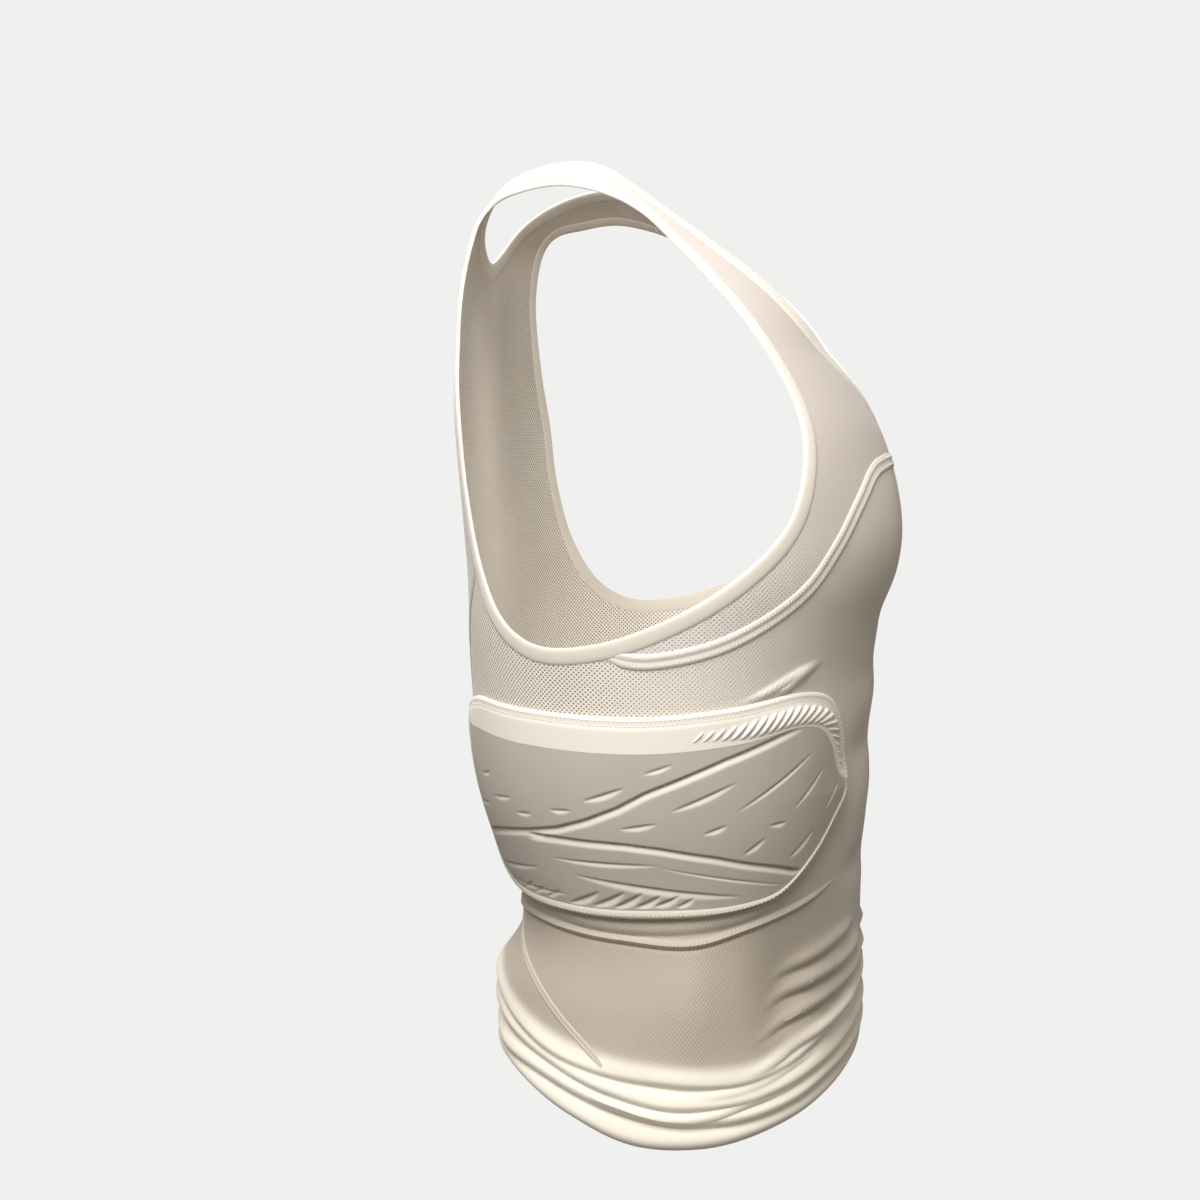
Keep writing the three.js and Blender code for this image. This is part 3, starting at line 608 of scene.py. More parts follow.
def knit(name, plain, warm_and_painted_shade, painted_roll_light, twill_and_painted_hole_shade):
    """Stretch knit: fine twill and open holes with painted shade where the field 'open' is high; a warmer
    tone with painted shade, and painted light on the hem's rolls, by fields.
    """
    cloth = Finish(name, Sheen_Weight=0.25, Sheen_Roughness=0.4, Specular_IOR_Level=0.35)
    hole_rate, twill_rate, slope = TURN / KNIT["hole_pitch"], TURN / KNIT["twill_pitch"], KNIT["slope"]
    dots = (cloth.u * hole_rate).cos() * (cloth.v * hole_rate).cos()
    holes = (dots + cloth.field("open") * KNIT["opening"]).between(*KNIT["hole_edge"]) * cloth.field("open")
    dashes = ((slope * cloth.u - cloth.v) * (twill_rate * KNIT["dash_share"])).sin()
    dashes = dashes * KNIT["dash_depth"] + (1 - KNIT["dash_depth"])
    wobble = cloth.noise(scale=600) * KNIT["wobble"]
    twill = ((cloth.u + slope * cloth.v) * twill_rate + wobble).sin() * dashes
    patchy = cloth.noise(scale=14.0, detail=3.0)
    # A warmer tone with painted shade by one field, and painted light on the hem's rolls by another.
    shade = cloth.mix(cloth.field("painted_roll_light"), cloth.mix(cloth.field("warm_and_painted_shade"), plain, warm_and_painted_shade), painted_roll_light)
    shade = cloth.mix(patchy.between(*KNIT["patches"]) * KNIT["patch_shade"], shade, warm_and_painted_shade)
    shade = cloth.mix((0.5 + twill * 0.5) * KNIT["twill_shade"] * cloth.field("twill"), shade, twill_and_painted_hole_shade)
    # Painted shade in the open holes, where the inside of the cloth shows through.
    shade = cloth.mix(holes * KNIT["hole_shade"], shade, twill_and_painted_hole_shade)
    height = twill * KNIT["twill_height"] * cloth.field("twill") - holes
    return cloth.wear(shade, roughness=0.78 - patchy * 0.12, height=height, depth=KNIT["relief"],
                      strength=0.75)


def satin(name, plain, dark, painted_highlight, painted_crease_shade):
    """Stretch film over the foam: smooth, faintly woven, a little glossy, with painted highlight and painted
    shade on its furrows by fields.
    """
    film = Finish(name, Sheen_Weight=0.15, Specular_IOR_Level=0.4)
    weave = (film.u * (TURN / FILM["pitch"])).sin() * (film.v * (TURN / FILM["pitch"])).sin()
    cloud = film.noise(scale=22.0, detail=4.0)
    shade = film.mix(cloud.between(*FILM["clouds"]) * FILM["cloud_shade"], plain, dark)
    shade = film.mix((0.5 + weave * 0.5) * FILM["weave_shade"], shade, dark)
    # Painted highlight on the furrows' lower flanks, painted shade on their upper flanks and towards the
    # foot.
    shade = film.mix(film.field("glint") * FILM["glint"], shade, painted_highlight)
    shade = film.mix(film.field("shade") * FILM["shade"], shade, painted_crease_shade)
    height = weave * 0.5 + cloud * 2.0
    return film.wear(shade, roughness=0.42 + cloud * 0.2, height=height, depth=FILM["relief"], strength=0.5)


def tape(name, plain, rib_and_painted_shade_tone, pitch=TAPE["pitch"], mapped=True):
    """Soft elastic tape: fine ribs across, with painted shade by a field."""
    band = Finish(name, mapped, Sheen_Weight=0.3, Sheen_Roughness=0.5, Specular_IOR_Level=0.3)
    rate = TURN / pitch
    ribs = ((band.u + band.v) * rate).sin() * 0.5 + ((band.u - band.v) * rate).sin() * 0.5
    cloud = band.noise(scale=30.0, detail=3.0)
    shade = band.mix((0.5 - ribs * 0.5) * TAPE["rib_shade"] + cloud * TAPE["cloud_shade"], plain, rib_and_painted_shade_tone)
    # Painted shade by a field.
    shade = band.mix(band.field("dull"), shade, rib_and_painted_shade_tone)
    return band.wear(shade, roughness=0.62 + cloud * 0.15, height=ribs, depth=TAPE["relief"], strength=0.12)


knit_finish = knit("open_knit", plain=tone(249, 243, 234), warm_and_painted_shade=tone(201, 191, 177),
                   painted_roll_light=tone(255, 250, 238), twill_and_painted_hole_shade=tone(88, 82, 76))
yoke_finish = knit("smooth_knit", plain=tone(243, 236, 230), warm_and_painted_shade=tone(220, 211, 206),
                   painted_roll_light=tone(220, 211, 206), twill_and_painted_hole_shade=tone(145, 137, 131))
pad_finish = satin("pad_face", plain=tone(199, 192, 182), dark=tone(184, 177, 167),
                   painted_highlight=tone(243, 237, 227), painted_crease_shade=tone(93, 87, 79))
# The second tone of a tape is that of its ribs and of its painted shade.
trim_finish = tape("trim", tone(245, 240, 232), tone(220, 212, 200))
yoke_seam_finish = tape("yoke_seam", tone(234, 227, 220), tone(214, 206, 197))
seam_finish = tape("seam", tone(206, 196, 182), tone(186, 175, 159))
rib_finish = tape("ribs", tone(252, 249, 243), tone(226, 218, 206), mapped=False)
thread_finish = tape("thread", tone(250, 246, 238), tone(196, 186, 170), THREAD_PITCH, False)

# Edges and seams of the right side, shared by the pieces that meet there.
front_end = COUNT["neck_front"] + COUNT["middle"] + COUNT["chest"]
back_end = front_end + COUNT["underarm"]
armhole = np.concatenate([
    along(ARMHOLE, 0, ARMHOLE_FRONT_END, front_end, True),
    along(ARMHOLE, ARMHOLE_FRONT_END, ARMHOLE_BACK_END, COUNT["underarm"], True)[1:],
    along(ARMHOLE, ARMHOLE_BACK_END, len(ARMHOLE), COUNT["neck_back"] + COUNT["spine"], True)[1:-1]])
arm_inner = offset(armhole, ARM_BINDING["width"] + GAP, True)
neck_stations = [(360 - angle, height) for angle, height in NECK_RIGHT[::-1]] + NECK_RIGHT[1:]
neck_turn = len(NECK_RIGHT) - 1
neck_right = np.concatenate([
    along(neck_stations, neck_turn, neck_turn + NECK_RIDGE, COUNT["neck_back"]),
    along(neck_stations, neck_turn + NECK_RIDGE, len(neck_stations) - 1, COUNT["neck_front"])[1:]])
neck_loop = np.concatenate([neck_right, mirrored(neck_right)[::-1][1:-1]])
neck_inner = offset(neck_loop, -NECK_BINDING["width"] - GAP, True)[:len(neck_right)]
neck_inner[0, 0], neck_inner[-1, 0] = 180, 0
chest = crowded(along(CHEST + [tuple(arm_inner[front_end])], 0, len(CHEST), 10 * COUNT["chest"]),
                COUNT["chest"], *PULLED)
side_line = Profile([(height, angle) for angle, height in SIDE])

levels = np.concatenate([np.linspace(high, low, count, endpoint=False) for high, low, count in LEVELS]
                        + [LEVELS[-1][1:2]])
side_heights, back_heights = Profile([tuple(row.values()) for row in ROWS])(levels).T
like_top = np.clip(1 - (levels[0] - levels) / TOP_EASE["reach"], 0, 1) ** TOP_EASE["power"]
high_side = np.stack([side_line(side_heights)[:, 0], side_heights], -1)
high_side[0] = arm_inner[back_end]


def last_high_row(angle):
    """Height at an angle of the last row above those that follow folds."""
    angles, heights = [0, high_side[-1, 0], 180], [levels[-1], side_heights[-1], back_heights[-1]]
    return np.interp(angle, angles, heights)[..., None]


guides = [last_high_row] + [hem_line if row["fold"] is None else ridges[row["fold"]] for row in FOLLOWED]
steps = np.concatenate([
    k + (1 - row["crowding"]) * share + row["crowding"] * (0.5 - 0.5 * np.cos(math.pi * share))
    for k, row in enumerate(FOLLOWED) for share in [np.linspace(0, 1, row["count"] + 1)[1:]]])


def low_row(step, angle):
    """Height of a lower row at an angle; each whole step is the next followed line."""
    k = np.clip(np.ceil(step).astype(int) - 1, 0, len(FOLLOWED) - 1)
    heights = np.stack([guide(angle)[..., 0] for guide in guides])
    here, there = (np.take_along_axis(heights, (k + more)[None], 0)[0] for more in (0, 1))
    return here + (there - here) * (step - k)


def at_side_seam():
    """Places where the lower rows meet the side seam."""
    low, high = (np.full(len(steps), SEARCH[end]) for end in ("low", "high"))
    for _ in range(SEARCH["halvings"]):
        middle = (low + high) / 2
        over = middle > low_row(steps, side_line(middle)[:, 0])
        low, high = np.where(over, low, middle), np.where(over, middle, high)
    return np.stack([side_line(low)[:, 0], low], -1)


low_side = at_side_seam()
side = np.concatenate([high_side, low_side])


def low_rows(start, shares):
    """Places of the lower rows from an angle to the side seam."""
    angle = start + (low_side[:, :1] - start) * shares
    return np.stack([angle, low_row(np.repeat(steps[:, None], len(shares), 1), angle)], -1)


def chest_yoke():
    """The upper front: neck and chest seam on one side of its mesh, the armhole on the other."""
    neck_edge = neck_inner[COUNT["neck_back"]:]
    middle = straight(neck_edge[-1], chest[0], np.linspace(0, 1, COUNT["middle"] + 1))
    inner = np.concatenate([neck_edge, middle[1:], chest[1:]])
    shares = np.linspace(0, 1, COUNT["yoke"] + 1)[None, :, None]
    grid = inner[:, None] * (1 - shares) + arm_inner[:len(inner), None] * shares
    return Cloth(*both_sides(grid)).wall(0, CLOTH)


def front_panel():
    """The knit front: rows from the chest seam down to the hem, between the side seams."""
    top = offset(np.concatenate([chest, arm_inner[front_end + 1:back_end + 1]]), GAP)
    top[0, 0] = 0
    right = high_side.copy()
    right[0] = top[-1]
    left = np.stack([np.zeros_like(levels), levels], -1)
    left[0] = top[0]
    shares = top[:, 0] / top[-1, 0]
    grid = np.concatenate([patch(top, left, right, like_top, shares), low_rows(0, shares)])
    return Cloth(*both_sides(grid)).wall(0, CLOTH)


def back_panel():
    """The knit back: straps and shoulders, and rows below them down to the hem."""
    past = np.array([SEWN_GAP / MM_PER_DEGREE, 0])
    neck_edge = neck_inner[:COUNT["neck_back"] + 1][::-1].copy()
    arm_edge = np.concatenate([arm_inner[back_end:], arm_inner[:1]])[::-1].copy()
    neck_edge[0] += past
    arm_edge[0] += past
    middle = np.array([180, SEAM_TOP[1]])
    spine = straight(neck_edge[-1], middle, np.linspace(0, 1, COUNT["spine"] + 1))[1:]
    shares = np.linspace(0, 1, COUNT["back"] + 1)
    across = straight(middle, side[0], shares)
    strap = straight(neck_edge[0], arm_edge[0], shares)
    upper = patch(strap, np.concatenate([neck_edge, spine]), arm_edge, np.zeros(len(arm_edge)), shares)
    left = np.stack([np.full_like(levels, 180), back_heights], -1)
    left[0] = middle
    lower = np.concatenate([patch(across, left, high_side, like_top, shares), low_rows(180, shares)])
    return Cloth(*both_sides(upper), *both_sides(lower)).wall(0, CLOTH)


# Angles, heights, or heights below the first roll, between which the finish of the cloth changes, its painted
# shade and painted light among them.
CHANGES = dict(under_arm=(40, 115), to_back=(150, 178), strap=(-60, -25), opens=(-420, -330),
               darkens_below=(-330, -440), darkens_past_front=(22, 58), painted_roll_light=(-11, -3), yoke_opens=(-170, -262),
               yoke_painted_shade=(-225, -160))
# How open and twilled the cloth is, and how much of its warmer tone with painted shade it takes, as shares.
SHARES = dict(least_open=0.12, closes_at_back=0.5, twill_lost_in_holes=0.8, twill_lost_in_roll_light=0.6,
              least_darkening=0.3, strap_painted_shade=0.8, yoke_open=0.75, yoke_twill=0.5)


def change(name, value):
    """How far one of the changes has gone at a value."""
    return ease(*CHANGES[name], value)


def knit_fields(places):
    """Where the knit is open and twilled, where it takes a warmer tone with painted shade, and where the
    hem's rolls take painted light.
    """
    turn, height = np.abs(places[:, 0]), places[:, 1]
    on_strap = change("strap", height)
    under_arm = change("under_arm", turn) * (1 - SHARES["closes_at_back"] * change("to_back", turn))
    open_share = from_share(SHARES["least_open"], under_arm) * change("opens", height) * (1 - on_strap)
    first_roll = ridges[FOLLOWED[1]["fold"]](turn)[:, 0]
    # Painted light: the rolls below the first fold are lighter.
    painted_roll_light = change("painted_roll_light", first_roll - height)
    twill = (1 - SHARES["twill_lost_in_holes"] * open_share) * (1 - on_strap)
    twill *= 1 - SHARES["twill_lost_in_roll_light"] * painted_roll_light
    # Warmer tone with painted shade on the lower cloth, less of it at the front, and painted shade on the
    # strap's top.
    warm_and_painted_shade = change("darkens_below", height) * from_share(SHARES["least_darkening"], change("darkens_past_front", turn))
    warm_and_painted_shade += SHARES["strap_painted_shade"] * on_strap
    return dict(open=open_share, twill=twill, warm_and_painted_shade=warm_and_painted_shade, painted_roll_light=painted_roll_light)


def yoke_fields(places):
    """Where the yoke is open, and where painted shade darkens it towards the top."""
    height = places[:, 1]
    return dict(open=SHARES["yoke_open"] * change("yoke_opens", height),
                twill=np.full_like(height, SHARES["yoke_twill"]),
                warm_and_painted_shade=change("yoke_painted_shade", height), painted_roll_light=np.zeros_like(height))


shape = chest_yoke()
yoke = piece("yoke_cloth", shape, yoke_finish, ["chest_yoke"], "smooth_knit", **yoke_fields(shape[2]))
shape = front_panel()
front = piece("front_cloth", shape, knit_finish, ["front_panel"], "open_knit", **knit_fields(shape[2]))
shape = back_panel()
back = piece("back_cloth", shape, knit_finish, ["back_panel"], "open_knit", **knit_fields(shape[2]))


# Heights between which a tape takes painted shade, and how much: at the strap's top and lower down towards
# the underarm.
PAINTED_SHADE_SPANS = rows("share start end", (0.6, -75, -15), (0.2, -80, -140), (0.4, -235, -262))


def binding(name, node, path, inward, size):
    """A soft tape along an open edge of the cloth."""
    sides, lifts = rounded(size["width"] + TAPE_OVERLAP, size["low"], size["high"])
    shape = ribbon(path, inward * sides, lifts, True)
    # Painted shade on the tape by height.
    dull = sum(part["share"] * ease(part["start"], part["end"], shape[2][:, 1]) for part in PAINTED_SHADE_SPANS)
    return piece(name, shape, trim_finish, [node], "trim", dull=dull)


# A welt's points round an end and across, the height of the valley between its ridges and how square its
# edges are, the share of its width that is left at its very tip and where it has sunk, and how far its
# underside and edges lie in the cloth.
WELT = dict(cap=9, across=17, valley=0.65, square=8, tip=0.02, thin_end=0.4, sunk=0.3, edge=0.1)


def welt(name, node, path, size, finish):
    """A flat seam with two soft ridges along it, sinking into the cloth at either end."""
    half = size["width"] / 2
    run = run_of(skin(path))
    cap = half * (1 - np.cos(np.linspace(0, math.pi / 2, WELT["cap"])))
    at = np.concatenate([cap, run[(run > half) & (run < run[-1] - half)], run[-1] - cap[::-1]])
    from_end = np.minimum(np.minimum(at, at[-1] - at) / half, 1 - WELT["tip"])
    full = np.sqrt(1 - (1 - from_end) ** 2)[:, None] + WELT["tip"]
    share = np.linspace(-1, 1, WELT["across"])
    hump = from_share(WELT["valley"], np.abs(np.sin((share + 1) * math.pi)))
    sink = (ease(0, size["sinks"][0], at) * ease(0, size["sinks"][1], at[-1] - at))[:, None]
    crown = size["thick"] * hump * (1 - share ** WELT["square"]) * full * sink
    base = np.full_like(crown, CLOTH - WELT["sunk"])
    sides = half * np.concatenate([share, share[::-1]]) * full * from_share(WELT["thin_end"], sink)
    lifts = np.concatenate([base, CLOTH - WELT["edge"] + crown[:, ::-1]], 1)
    shape = ribbon(picked(path, run, at), sides, lifts, False)
    return piece(name, shape, finish, [node], "trim", sharp=75)


UNDER_TAPE = 0.6          # how far from an armhole's edge to the cloth's edge a side seam starts
neck_tape = binding("neck_tape", "neck_binding", neck_loop, -1, NECK_BINDING)
chest_line = along(CHEST + CHEST_CURL, 0, len(CHEST + CHEST_CURL) - 1, COUNT["chest_line"])
chest_line = np.concatenate([mirrored(chest_line)[::-1][:-1], chest_line])
chest_welt = welt("chest_welt", "chest_seam", chest_line, CHEST_SEAM, yoke_seam_finish)
seam = np.concatenate([straight(armhole[back_end], side[0], [UNDER_TAPE]), side[side[:, 1] > SIDE_SEAM_FOOT]])
for name, turned, inward in SIDES:
    binding(f"armhole_tape_{name}", f"armhole_binding_{name}", turned(armhole), inward, ARM_BINDING)
    welt(f"side_welt_{name}", f"side_seam_{name}", turned(seam), SIDE_SEAM, seam_finish)

outline = along(PAD_OUTLINE, 0, len(PAD_OUTLINE), COUNT["outline"], True)[:-1]
outline, border_width = outline[:, :2], outline[:, 2]
outline_top = along(PAD_OUTLINE, 0, PAD_BACK_TIP, COUNT["pad_along"], True)
outline_foot = along(PAD_OUTLINE, PAD_BACK_TIP, len(PAD_OUTLINE), COUNT["pad_along"], True)


def in_mm(places):
    """Places with their angles turned into millimetres."""
    return places * np.array([MM_PER_DEGREE, 1])


def off_line(places, path):
    """Signed distance of places above a path, and how far along it they lie, from 0 to 1."""
    spots, line = in_mm(places), in_mm(np.array(path, float))
    best, above, share = np.full(len(spots), 1e9), np.zeros(len(spots)), np.zeros(len(spots))
    reach = run_of(line)
    for i, (a, b) in enumerate(zip(line[:-1], line[1:])):
        way = b - a
        t = np.clip(((spots - a) @ way) / (way @ way), 0, 1)
        gap = spots - a - t[:, None] * way
        far = np.linalg.norm(gap, axis=1)
        near = far < best
        best = np.where(near, far, best)
        above = np.where(near, np.where(gap[:, 1] >= 0, far, -far), above)
        share = np.where(near, (reach[i] + t * (reach[i + 1] - reach[i])) / reach[-1], share)
    return above, share


def sunk(above, up, low):
    """A furrow's depth from 0 to 1: a steep flank above its floor and a slow one below."""
    flanks = np.where(above > 0, np.clip(1 - above / up, 0, 1), np.clip(1 + above / low, 0, 1))
    return flanks ** FURROW["flank_power"]


def flank(into, width):
    """How much a place lies on a furrow's flank, from its floor out to its width."""
    share = np.clip(into / width, 0, 1)
    return np.where(into >= 0, 1 - share ** 3, 0) * (share < 1)


BATCHES = 20              # parts in which a pad's distances are worked out, to save memory


def rib_pad(turned):
    """A crowned foam pad with sunk lines, and the fields of painted highlight and painted shade on its film.
    """
    edge_top = offset(outline_top[:, :2], outline_top[:, 2] + SEWN_GAP)
    edge_foot = offset(outline_foot[:, :2], outline_foot[:, 2] + SEWN_GAP)[::-1]
    tips = (edge_top[0] + edge_foot[0]) / 2, (edge_top[-1] + edge_foot[-1]) / 2
    for edge in (edge_top, edge_foot):
        edge[0], edge[-1] = tips
    across = lambda count: np.linspace(0, 1, count + 1)[None, :, None]
    grid, flat = (edge_top[:, None] * (1 - share) + edge_foot[:, None] * share
                  for share in (across(COUNT["pad_down"]), across(COUNT["pad_back"])))
    places = grid.reshape(-1, 2)
    rim = in_mm(np.concatenate([edge_top, edge_foot[::-1]])[::2])
    from_rim = np.concatenate([np.min(np.linalg.norm(part[:, None] - rim[None], axis=2), axis=1)
                               for part in np.array_split(in_mm(places), BATCHES)])
    crown = 1 - (1 - np.clip(from_rim / PAD["shoulder"], 0, 1)) ** 2
    lift = PAD["rim"] + (PAD["thick"] - PAD["rim"]) * crown
    # Painted highlight on each furrow's lower flank, painted shade on its upper flank and towards the foot.
    glint, shade = np.zeros(len(places)), FOOT_SHADE["share"] * ease(*FOOT_SHADE["heights"], places[:, 1])
    for line in FLEX_LINES:
        above, share = off_line(places, line["path"])
        fade = ease(0, FURROW["starts"], share) * ease(0, FURROW["clear"], from_rim)
        lift -= line["depth"] * sunk(above, line["above"], line["below"]) * fade
        glint = np.maximum(glint, flank(-above, line["below"]) * fade)
        shade = np.maximum(shade, flank(above, line["above"]) * fade)
    for slit in SLITS:
        ends = [(slit["angle1"], slit["height1"]), (slit["angle2"], slit["height2"])]
        above, share = off_line(places, ends)
        taper = np.sin(np.pi * np.clip(share, 0.001, 0.999)) ** FURROW["slit_taper"]
        taper *= ease(0, FURROW["slit_clear"], from_rim)
        low = slit["below"] * np.maximum(taper, FURROW["least"])
        lift -= slit["depth"] * taper * sunk(above, FURROW["slit_above"], low)
        glint = np.maximum(glint, flank(-above, low) * taper)
        shade = np.maximum(shade, FURROW["slit_shade"] * flank(above, FURROW["slit_above"]) * taper)

    def ring(values, under):
        return np.concatenate([values.reshape(grid.shape[:2]), np.full(flat.shape[:2], under)], 1)

    shape = loft(turned(np.concatenate([grid, flat[:, ::-1]], 1)), PAD_BASE + ring(lift, -PAD_SUNK), False)
    return shape, dict(glint=ring(glint, 0.0).ravel(), shade=ring(shade, 0.0).ravel())


def border_lift(inset, width):
    """The lift of a border's face at an inset from its outer edge, where it has a width."""
    size = PAD_BORDER
    outer = size["outer"] + (size["outer_on_top"] - size["outer"]) * ease(*size["lowers"], width)
    face = outer + (size["thick"] - outer) * inset / width
    face += size["bead"] * np.sin(math.pi * inset / width) * (1 - ease(*size["flattens"], width))
    face *= 1 - size["edge_drop"] * (1 - np.clip(inset / size["rounding"], 0, 1)) ** 2
    in_margin = 1 - ease(-size["margin_edge"], size["margin_edge"], inset - size["margin"])
    return PAD_BASE + face - size["margin_drop"] * (in_margin * ease(*size["margin_starts"], width))


def pad_border(turned, inward):
    """A pad's frame, with painted shade where it is narrow."""
    share = np.linspace(0, 1, COUNT["border"] + 1) ** PAD_BORDER["crowding"]
    width = border_width[:, None]
    sides = width * share
    top = border_lift(sides, width)
    lifts = np.concatenate([np.full_like(top, PAD_BASE - PAD_SUNK), top[:, ::-1]], 1)
    # Painted shade where the border is narrow.
    dull = np.repeat(1 - ease(*PAD_BORDER["dull_ends"], border_width), 2 * len(share))
    sides = inward * np.concatenate([sides, sides[:, ::-1]], 1)
    return ribbon(turned(outline), sides, lifts, True), dict(dull=dull)


PAD_SHARP = 80            # angle from which an edge of a pad or its frame shows as an edge
for name, turned, inward in SIDES:
    shape, fields = rib_pad(turned)
    piece(f"rib_foam_{name}", shape, pad_finish, [f"rib_pad_{name}"], "pad_face",
                      sharp=PAD_SHARP, **fields)
    shape, fields = pad_border(turned, inward)
    piece(f"pad_frame_{name}", shape, trim_finish, [f"pad_border_{name}"], "trim",
          sharp=PAD_SHARP, **fields)


class Rows(Tree):
    """Small sewn forms set along paths, each lying on the surface."""

    def __init__(self, name, finish):
        tree = bpy.data.node_groups.new(name, "GeometryNodeTree")
        super().__init__(tree)
        face = tree.interface
        face.new_socket("Geometry", in_out="INPUT", socket_type="NodeSocketGeometry")
        self.sizes = {size: face.new_socket(size, in_out="INPUT", socket_type="NodeSocketFloat").identifier
                      for size in ("Spacing", "Length", "Width", "Height", "Lean")}
        face.new_socket("Geometry", in_out="OUTPUT", socket_type="NodeSocketGeometry")
        given = tree.nodes.new("NodeGroupInput")
        take = {socket.name: Value(self, socket) for socket in given.outputs if socket.name}
        curve = self.node("GeometryNodeMeshToCurve", None, {"Mesh": take["Geometry"]})
        dots = self.node("GeometryNodeResampleCurve", {"mode": "LENGTH"},
                         {"Curve": curve, "Length": take["Spacing"]})
        out = self.node("GeometryNodeInputNamedAttribute", {"data_type": "FLOAT_VECTOR"}, {"Name": "out"})
        tangent = self.node("GeometryNodeInputTangent")
        lie_flat = self.node("FunctionNodeAxesToRotation", {"primary_axis": "Z", "secondary_axis": "X"},
                             {"Primary Axis": out, "Secondary Axis": tangent})
        lean = self.node("FunctionNodeAxisAngleToRotation", None, {"Axis": (0, 0, 1), "Angle": take["Lean"]})
        turn = self.node("FunctionNodeRotateRotation", {"rotation_space": "LOCAL"}, {0: lie_flat, 1: lean})
        share = self.node("GeometryNodeInputNamedAttribute", {"data_type": "FLOAT"}, {"Name": "share"})
        size = self.node("ShaderNodeCombineXYZ", None,
                         {0: take["Length"], 1: take["Width"], 2: take["Height"]})
        size = self.node("ShaderNodeVectorMath", {"operation": "SCALE"}, {0: size, "Scale": share})
        form = self.node("GeometryNodeMeshUVSphere", None, {"Segments": 8, "Rings": 5, "Radius": 0.5})
        forms = self.node("GeometryNodeInstanceOnPoints", None,
                          {"Points": dots, "Instance": form, "Rotation": turn, "Scale": size})
        forms = self.node("GeometryNodeRealizeInstances", None, {0: forms})
        forms = self.node("GeometryNodeSetShadeSmooth", None, {0: forms})
        forms = self.node("GeometryNodeSetMaterial", None, {"Geometry": forms, "Material": finish})
        tree.links.new(forms.socket, tree.nodes.new("NodeGroupOutput").inputs[0])


def sewn(name, tree, paths, slot, **sizes):
    """Sewn forms along paths of places, each path with a lift and its forms' share of the full size."""
    points, outs, shares, edges = [], [], [], []
    for path, lift, share in paths:
        start = sum(len(p) for p in points)
        points.append(lifted(path, np.broadcast_to(lift, len(path))))
        outs.append(lie(path)[2])
        shares.append(np.broadcast_to(share, len(path)))
        edges += [(start + i, start + i + 1) for i in range(len(path) - 1)]
    mesh = bpy.data.meshes.new(name)
    mesh.from_pydata((np.concatenate(points) * MM).tolist(), edges, [])
    for field, kind, part, values in (("out", "FLOAT_VECTOR", "vector", np.concatenate(outs).ravel()),
                                      ("share", "FLOAT", "value", np.concatenate(shares))):
        mesh.attributes.new(field, kind, "POINT").data.foreach_set(part, values)
    made = bpy.data.objects.new(name, mesh)
    bpy.context.scene.collection.objects.link(made)
    rule = made.modifiers.new("rows", "NODES")
    rule.node_group = tree.nodes
    for size, value in sizes.items():
        rule[tree.sizes[size]] = value
    plain = bpy.data.meshes.new_from_object(made.evaluated_get(bpy.context.evaluated_depsgraph_get()))
    made.modifiers.remove(rule)
    made.data = plain
    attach(made, "root")
    return made


# Sizes of the sewn forms in metres, and how far a border's forms lean inward.
BORDER_STITCH = dict(Spacing=0.0026, Length=0.0017, Width=0.0009, Height=0.0007)
CHEST_STITCH = dict(Spacing=0.0023, Length=0.0019, Width=0.0007, Height=0.0006, Lean=0.9)
BORDER_RIB = dict(Spacing=0.0056, Length=0.0185, Width=0.0032, Height=0.0040)
LEAN = dict(stitch=0.3, rib=0.7)
# Millimetres that they sink in, the insets of stitches where a border is wide, the shares of its width at
# which other rows run, and the size of stitches where it is narrow.
SUNK = dict(stitch=0.1, chest_stitch=0.2, rib=0.2)
STITCH_INSETS = (1.9, 4.6)
ROW_AT = dict(narrow=0.5, rib=0.66)
NARROW_STITCH = 0.9
CHEST_STITCH_ENDS = slice(8, -8)
# Ribs on a border's front corner: the angle at which they end and their size there, the angle from which
# they are full, their foot, the least border that holds them, and how they shrink down the front edge.
HATCH = dict(back=79, back_size=0.5, full=64, foot=-338, least_border=12, front=50, shrinks=(-300, -330),
             shrink=0.65)

stitch_rows = Rows("stitch_rows", thread_finish)
rib_rows = Rows("rib_rows", rib_finish)
turn, height = outline.T
wide = border_width > PAD_BORDER["wide"]
ribbed = (turn < HATCH["back"]) & (height > HATCH["foot"]) & (border_width > HATCH["least_border"])
first_narrow = int(np.argmin(wide))
order = np.roll(np.arange(len(outline)), -first_narrow)
wide_run, narrow_run, rib_run = (order[np.roll(part, -first_narrow)] for part in (wide, ~wide, ribbed))
shrunk = HATCH["shrink"] * ease(*HATCH["shrinks"], height) * (turn < HATCH["front"])
rib_size = from_share(HATCH["back_size"], ease(HATCH["back"], HATCH["full"], turn)) * (1 - shrunk)


def border_row(turned, inward, inset, run, sunk_by, share):
    """A row along a stretch of a border at an inset from its edge: places, lifts and its forms' size."""
    return (offset(turned(outline), inward * inset, True)[run],
            (border_lift(inset, border_width) - sunk_by)[run], share)


for name, turned, inward in SIDES:
    stitches = [border_row(turned, inward, inset, wide_run, SUNK["stitch"], 1.0) for inset in STITCH_INSETS]
    stitches.append(border_row(turned, inward, border_width * ROW_AT["narrow"], narrow_run, SUNK["stitch"],
                               NARROW_STITCH))
    sewn(f"stitching_{name}", stitch_rows, stitches, "trim", Lean=LEAN["stitch"] * inward, **BORDER_STITCH)
    ribs = [border_row(turned, inward, border_width * ROW_AT["rib"], rib_run, SUNK["rib"], rib_size[rib_run])]
    sewn(f"border_ribs_{name}", rib_rows, ribs, "trim", Lean=LEAN["rib"] * inward, **BORDER_RIB)
stitches = [(offset(chest_line, ridge * CHEST_SEAM["width"] / 4)[CHEST_STITCH_ENDS],
             CLOTH + CHEST_SEAM["thick"] - SUNK["chest_stitch"], 1.0) for ridge in (-1, 1)]
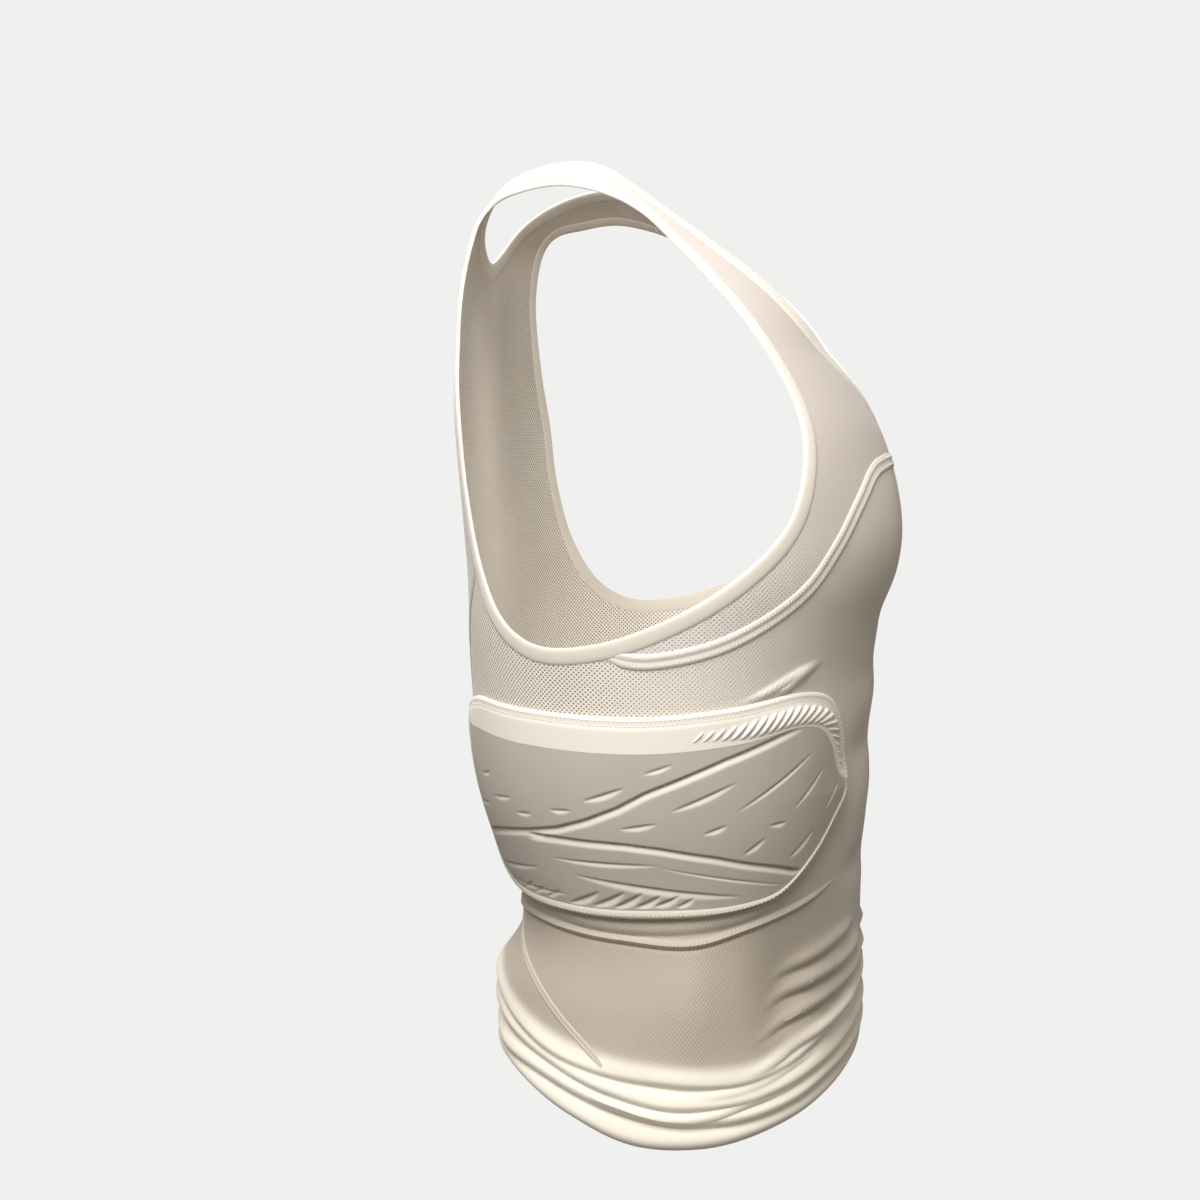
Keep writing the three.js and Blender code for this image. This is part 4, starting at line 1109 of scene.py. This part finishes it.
sewn("chest_stitching", stitch_rows, stitches, "trim", **CHEST_STITCH)

# Floor, light and camera.
BACKDROP = tone(240, 240, 239)
AMBIENT = dict(strength=0.40, colour=tone(253, 243, 226))
FLOOR = dict(height=-0.70, reach=9)
LIT_AT = (0, -0.05, -0.30)
CAMERA = dict(place=(-1.1249, -0.2187, -0.1598), target=(0, 0, -0.256), lens=54, sensor=36,
              clip=(0.01, 100))

corners = [(x * FLOOR["reach"], y * FLOOR["reach"], FLOOR["height"])
           for x, y in ((-1, -1), (1, -1), (1, 1), (-1, 1))]
floor_mesh = bpy.data.meshes.new("floor")
floor_mesh.from_pydata(corners, [], [(0, 1, 2, 3)])
floor = bpy.data.objects.new("floor", floor_mesh)
floor_paint = Finish("floor_paint", False, Base_Color=tone(110, 109, 108), Roughness=0.9)
floor_mesh.materials.append(floor_paint.material)
direct = floor_paint.node("ShaderNodeLightPath")
glow = floor_paint.node("ShaderNodeEmission", None, {"Color": BACKDROP, "Strength": 1.0})
lit = Value(floor_paint, floor_paint.shader.outputs[0])
seen = floor_paint.node("ShaderNodeMixShader", None, {0: direct, 1: lit, 2: glow})
floor_paint.nodes.links.new(seen.socket, floor_paint.nodes.nodes["Material Output"].inputs["Surface"])
bpy.context.scene.collection.objects.link(floor)

world = bpy.data.worlds.new("studio")
bpy.context.scene.world = world
world.use_nodes = True
sky = Tree(world.node_tree)
direct = sky.node("ShaderNodeLightPath")
glow = sky.node("ShaderNodeMix", {"data_type": "RGBA"}, {0: direct, 6: AMBIENT["colour"], 7: BACKDROP}, 2)
strength = AMBIENT["strength"] + direct * (1 - AMBIENT["strength"])
background = world.node_tree.nodes["Background"]
world.node_tree.links.new(glow.socket, background.inputs["Color"])
world.node_tree.links.new(strength.socket, background.inputs["Strength"])


def softbox(name, place, size, power, colour):
    """A square soft light that faces the middle of the top."""
    lamp = bpy.data.lights.new(name, "AREA")
    lamp.shape, lamp.size = "SQUARE", size
    lamp.energy, lamp.color = power, colour
    made = bpy.data.objects.new(name, lamp)
    made.location = place
    made.rotation_euler = (Vector(LIT_AT) - Vector(place)).to_track_quat("-Z", "Y").to_euler()
    made.visible_camera = False
    bpy.context.scene.collection.objects.link(made)


softbox("key", place=(-0.74, 0.03, 0.42), size=0.6, power=13.2, colour=(1.0, 0.98, 0.955))
softbox("fill", place=(0.85, 0.30, 0.40), size=0.8, power=9.0, colour=(1.0, 0.98, 0.95))

lens = bpy.data.cameras.new("camera")
lens.lens, lens.sensor_width = CAMERA["lens"], CAMERA["sensor"]
lens.clip_start, lens.clip_end = CAMERA["clip"]
camera = bpy.data.objects.new("camera", lens)
camera.location = CAMERA["place"]
camera.rotation_euler = (Vector(CAMERA["target"]) - camera.location).to_track_quat("-Z", "Y").to_euler()
bpy.context.scene.collection.objects.link(camera)
bpy.context.scene.camera = camera
bpy.context.scene.view_settings.view_transform = "Standard"
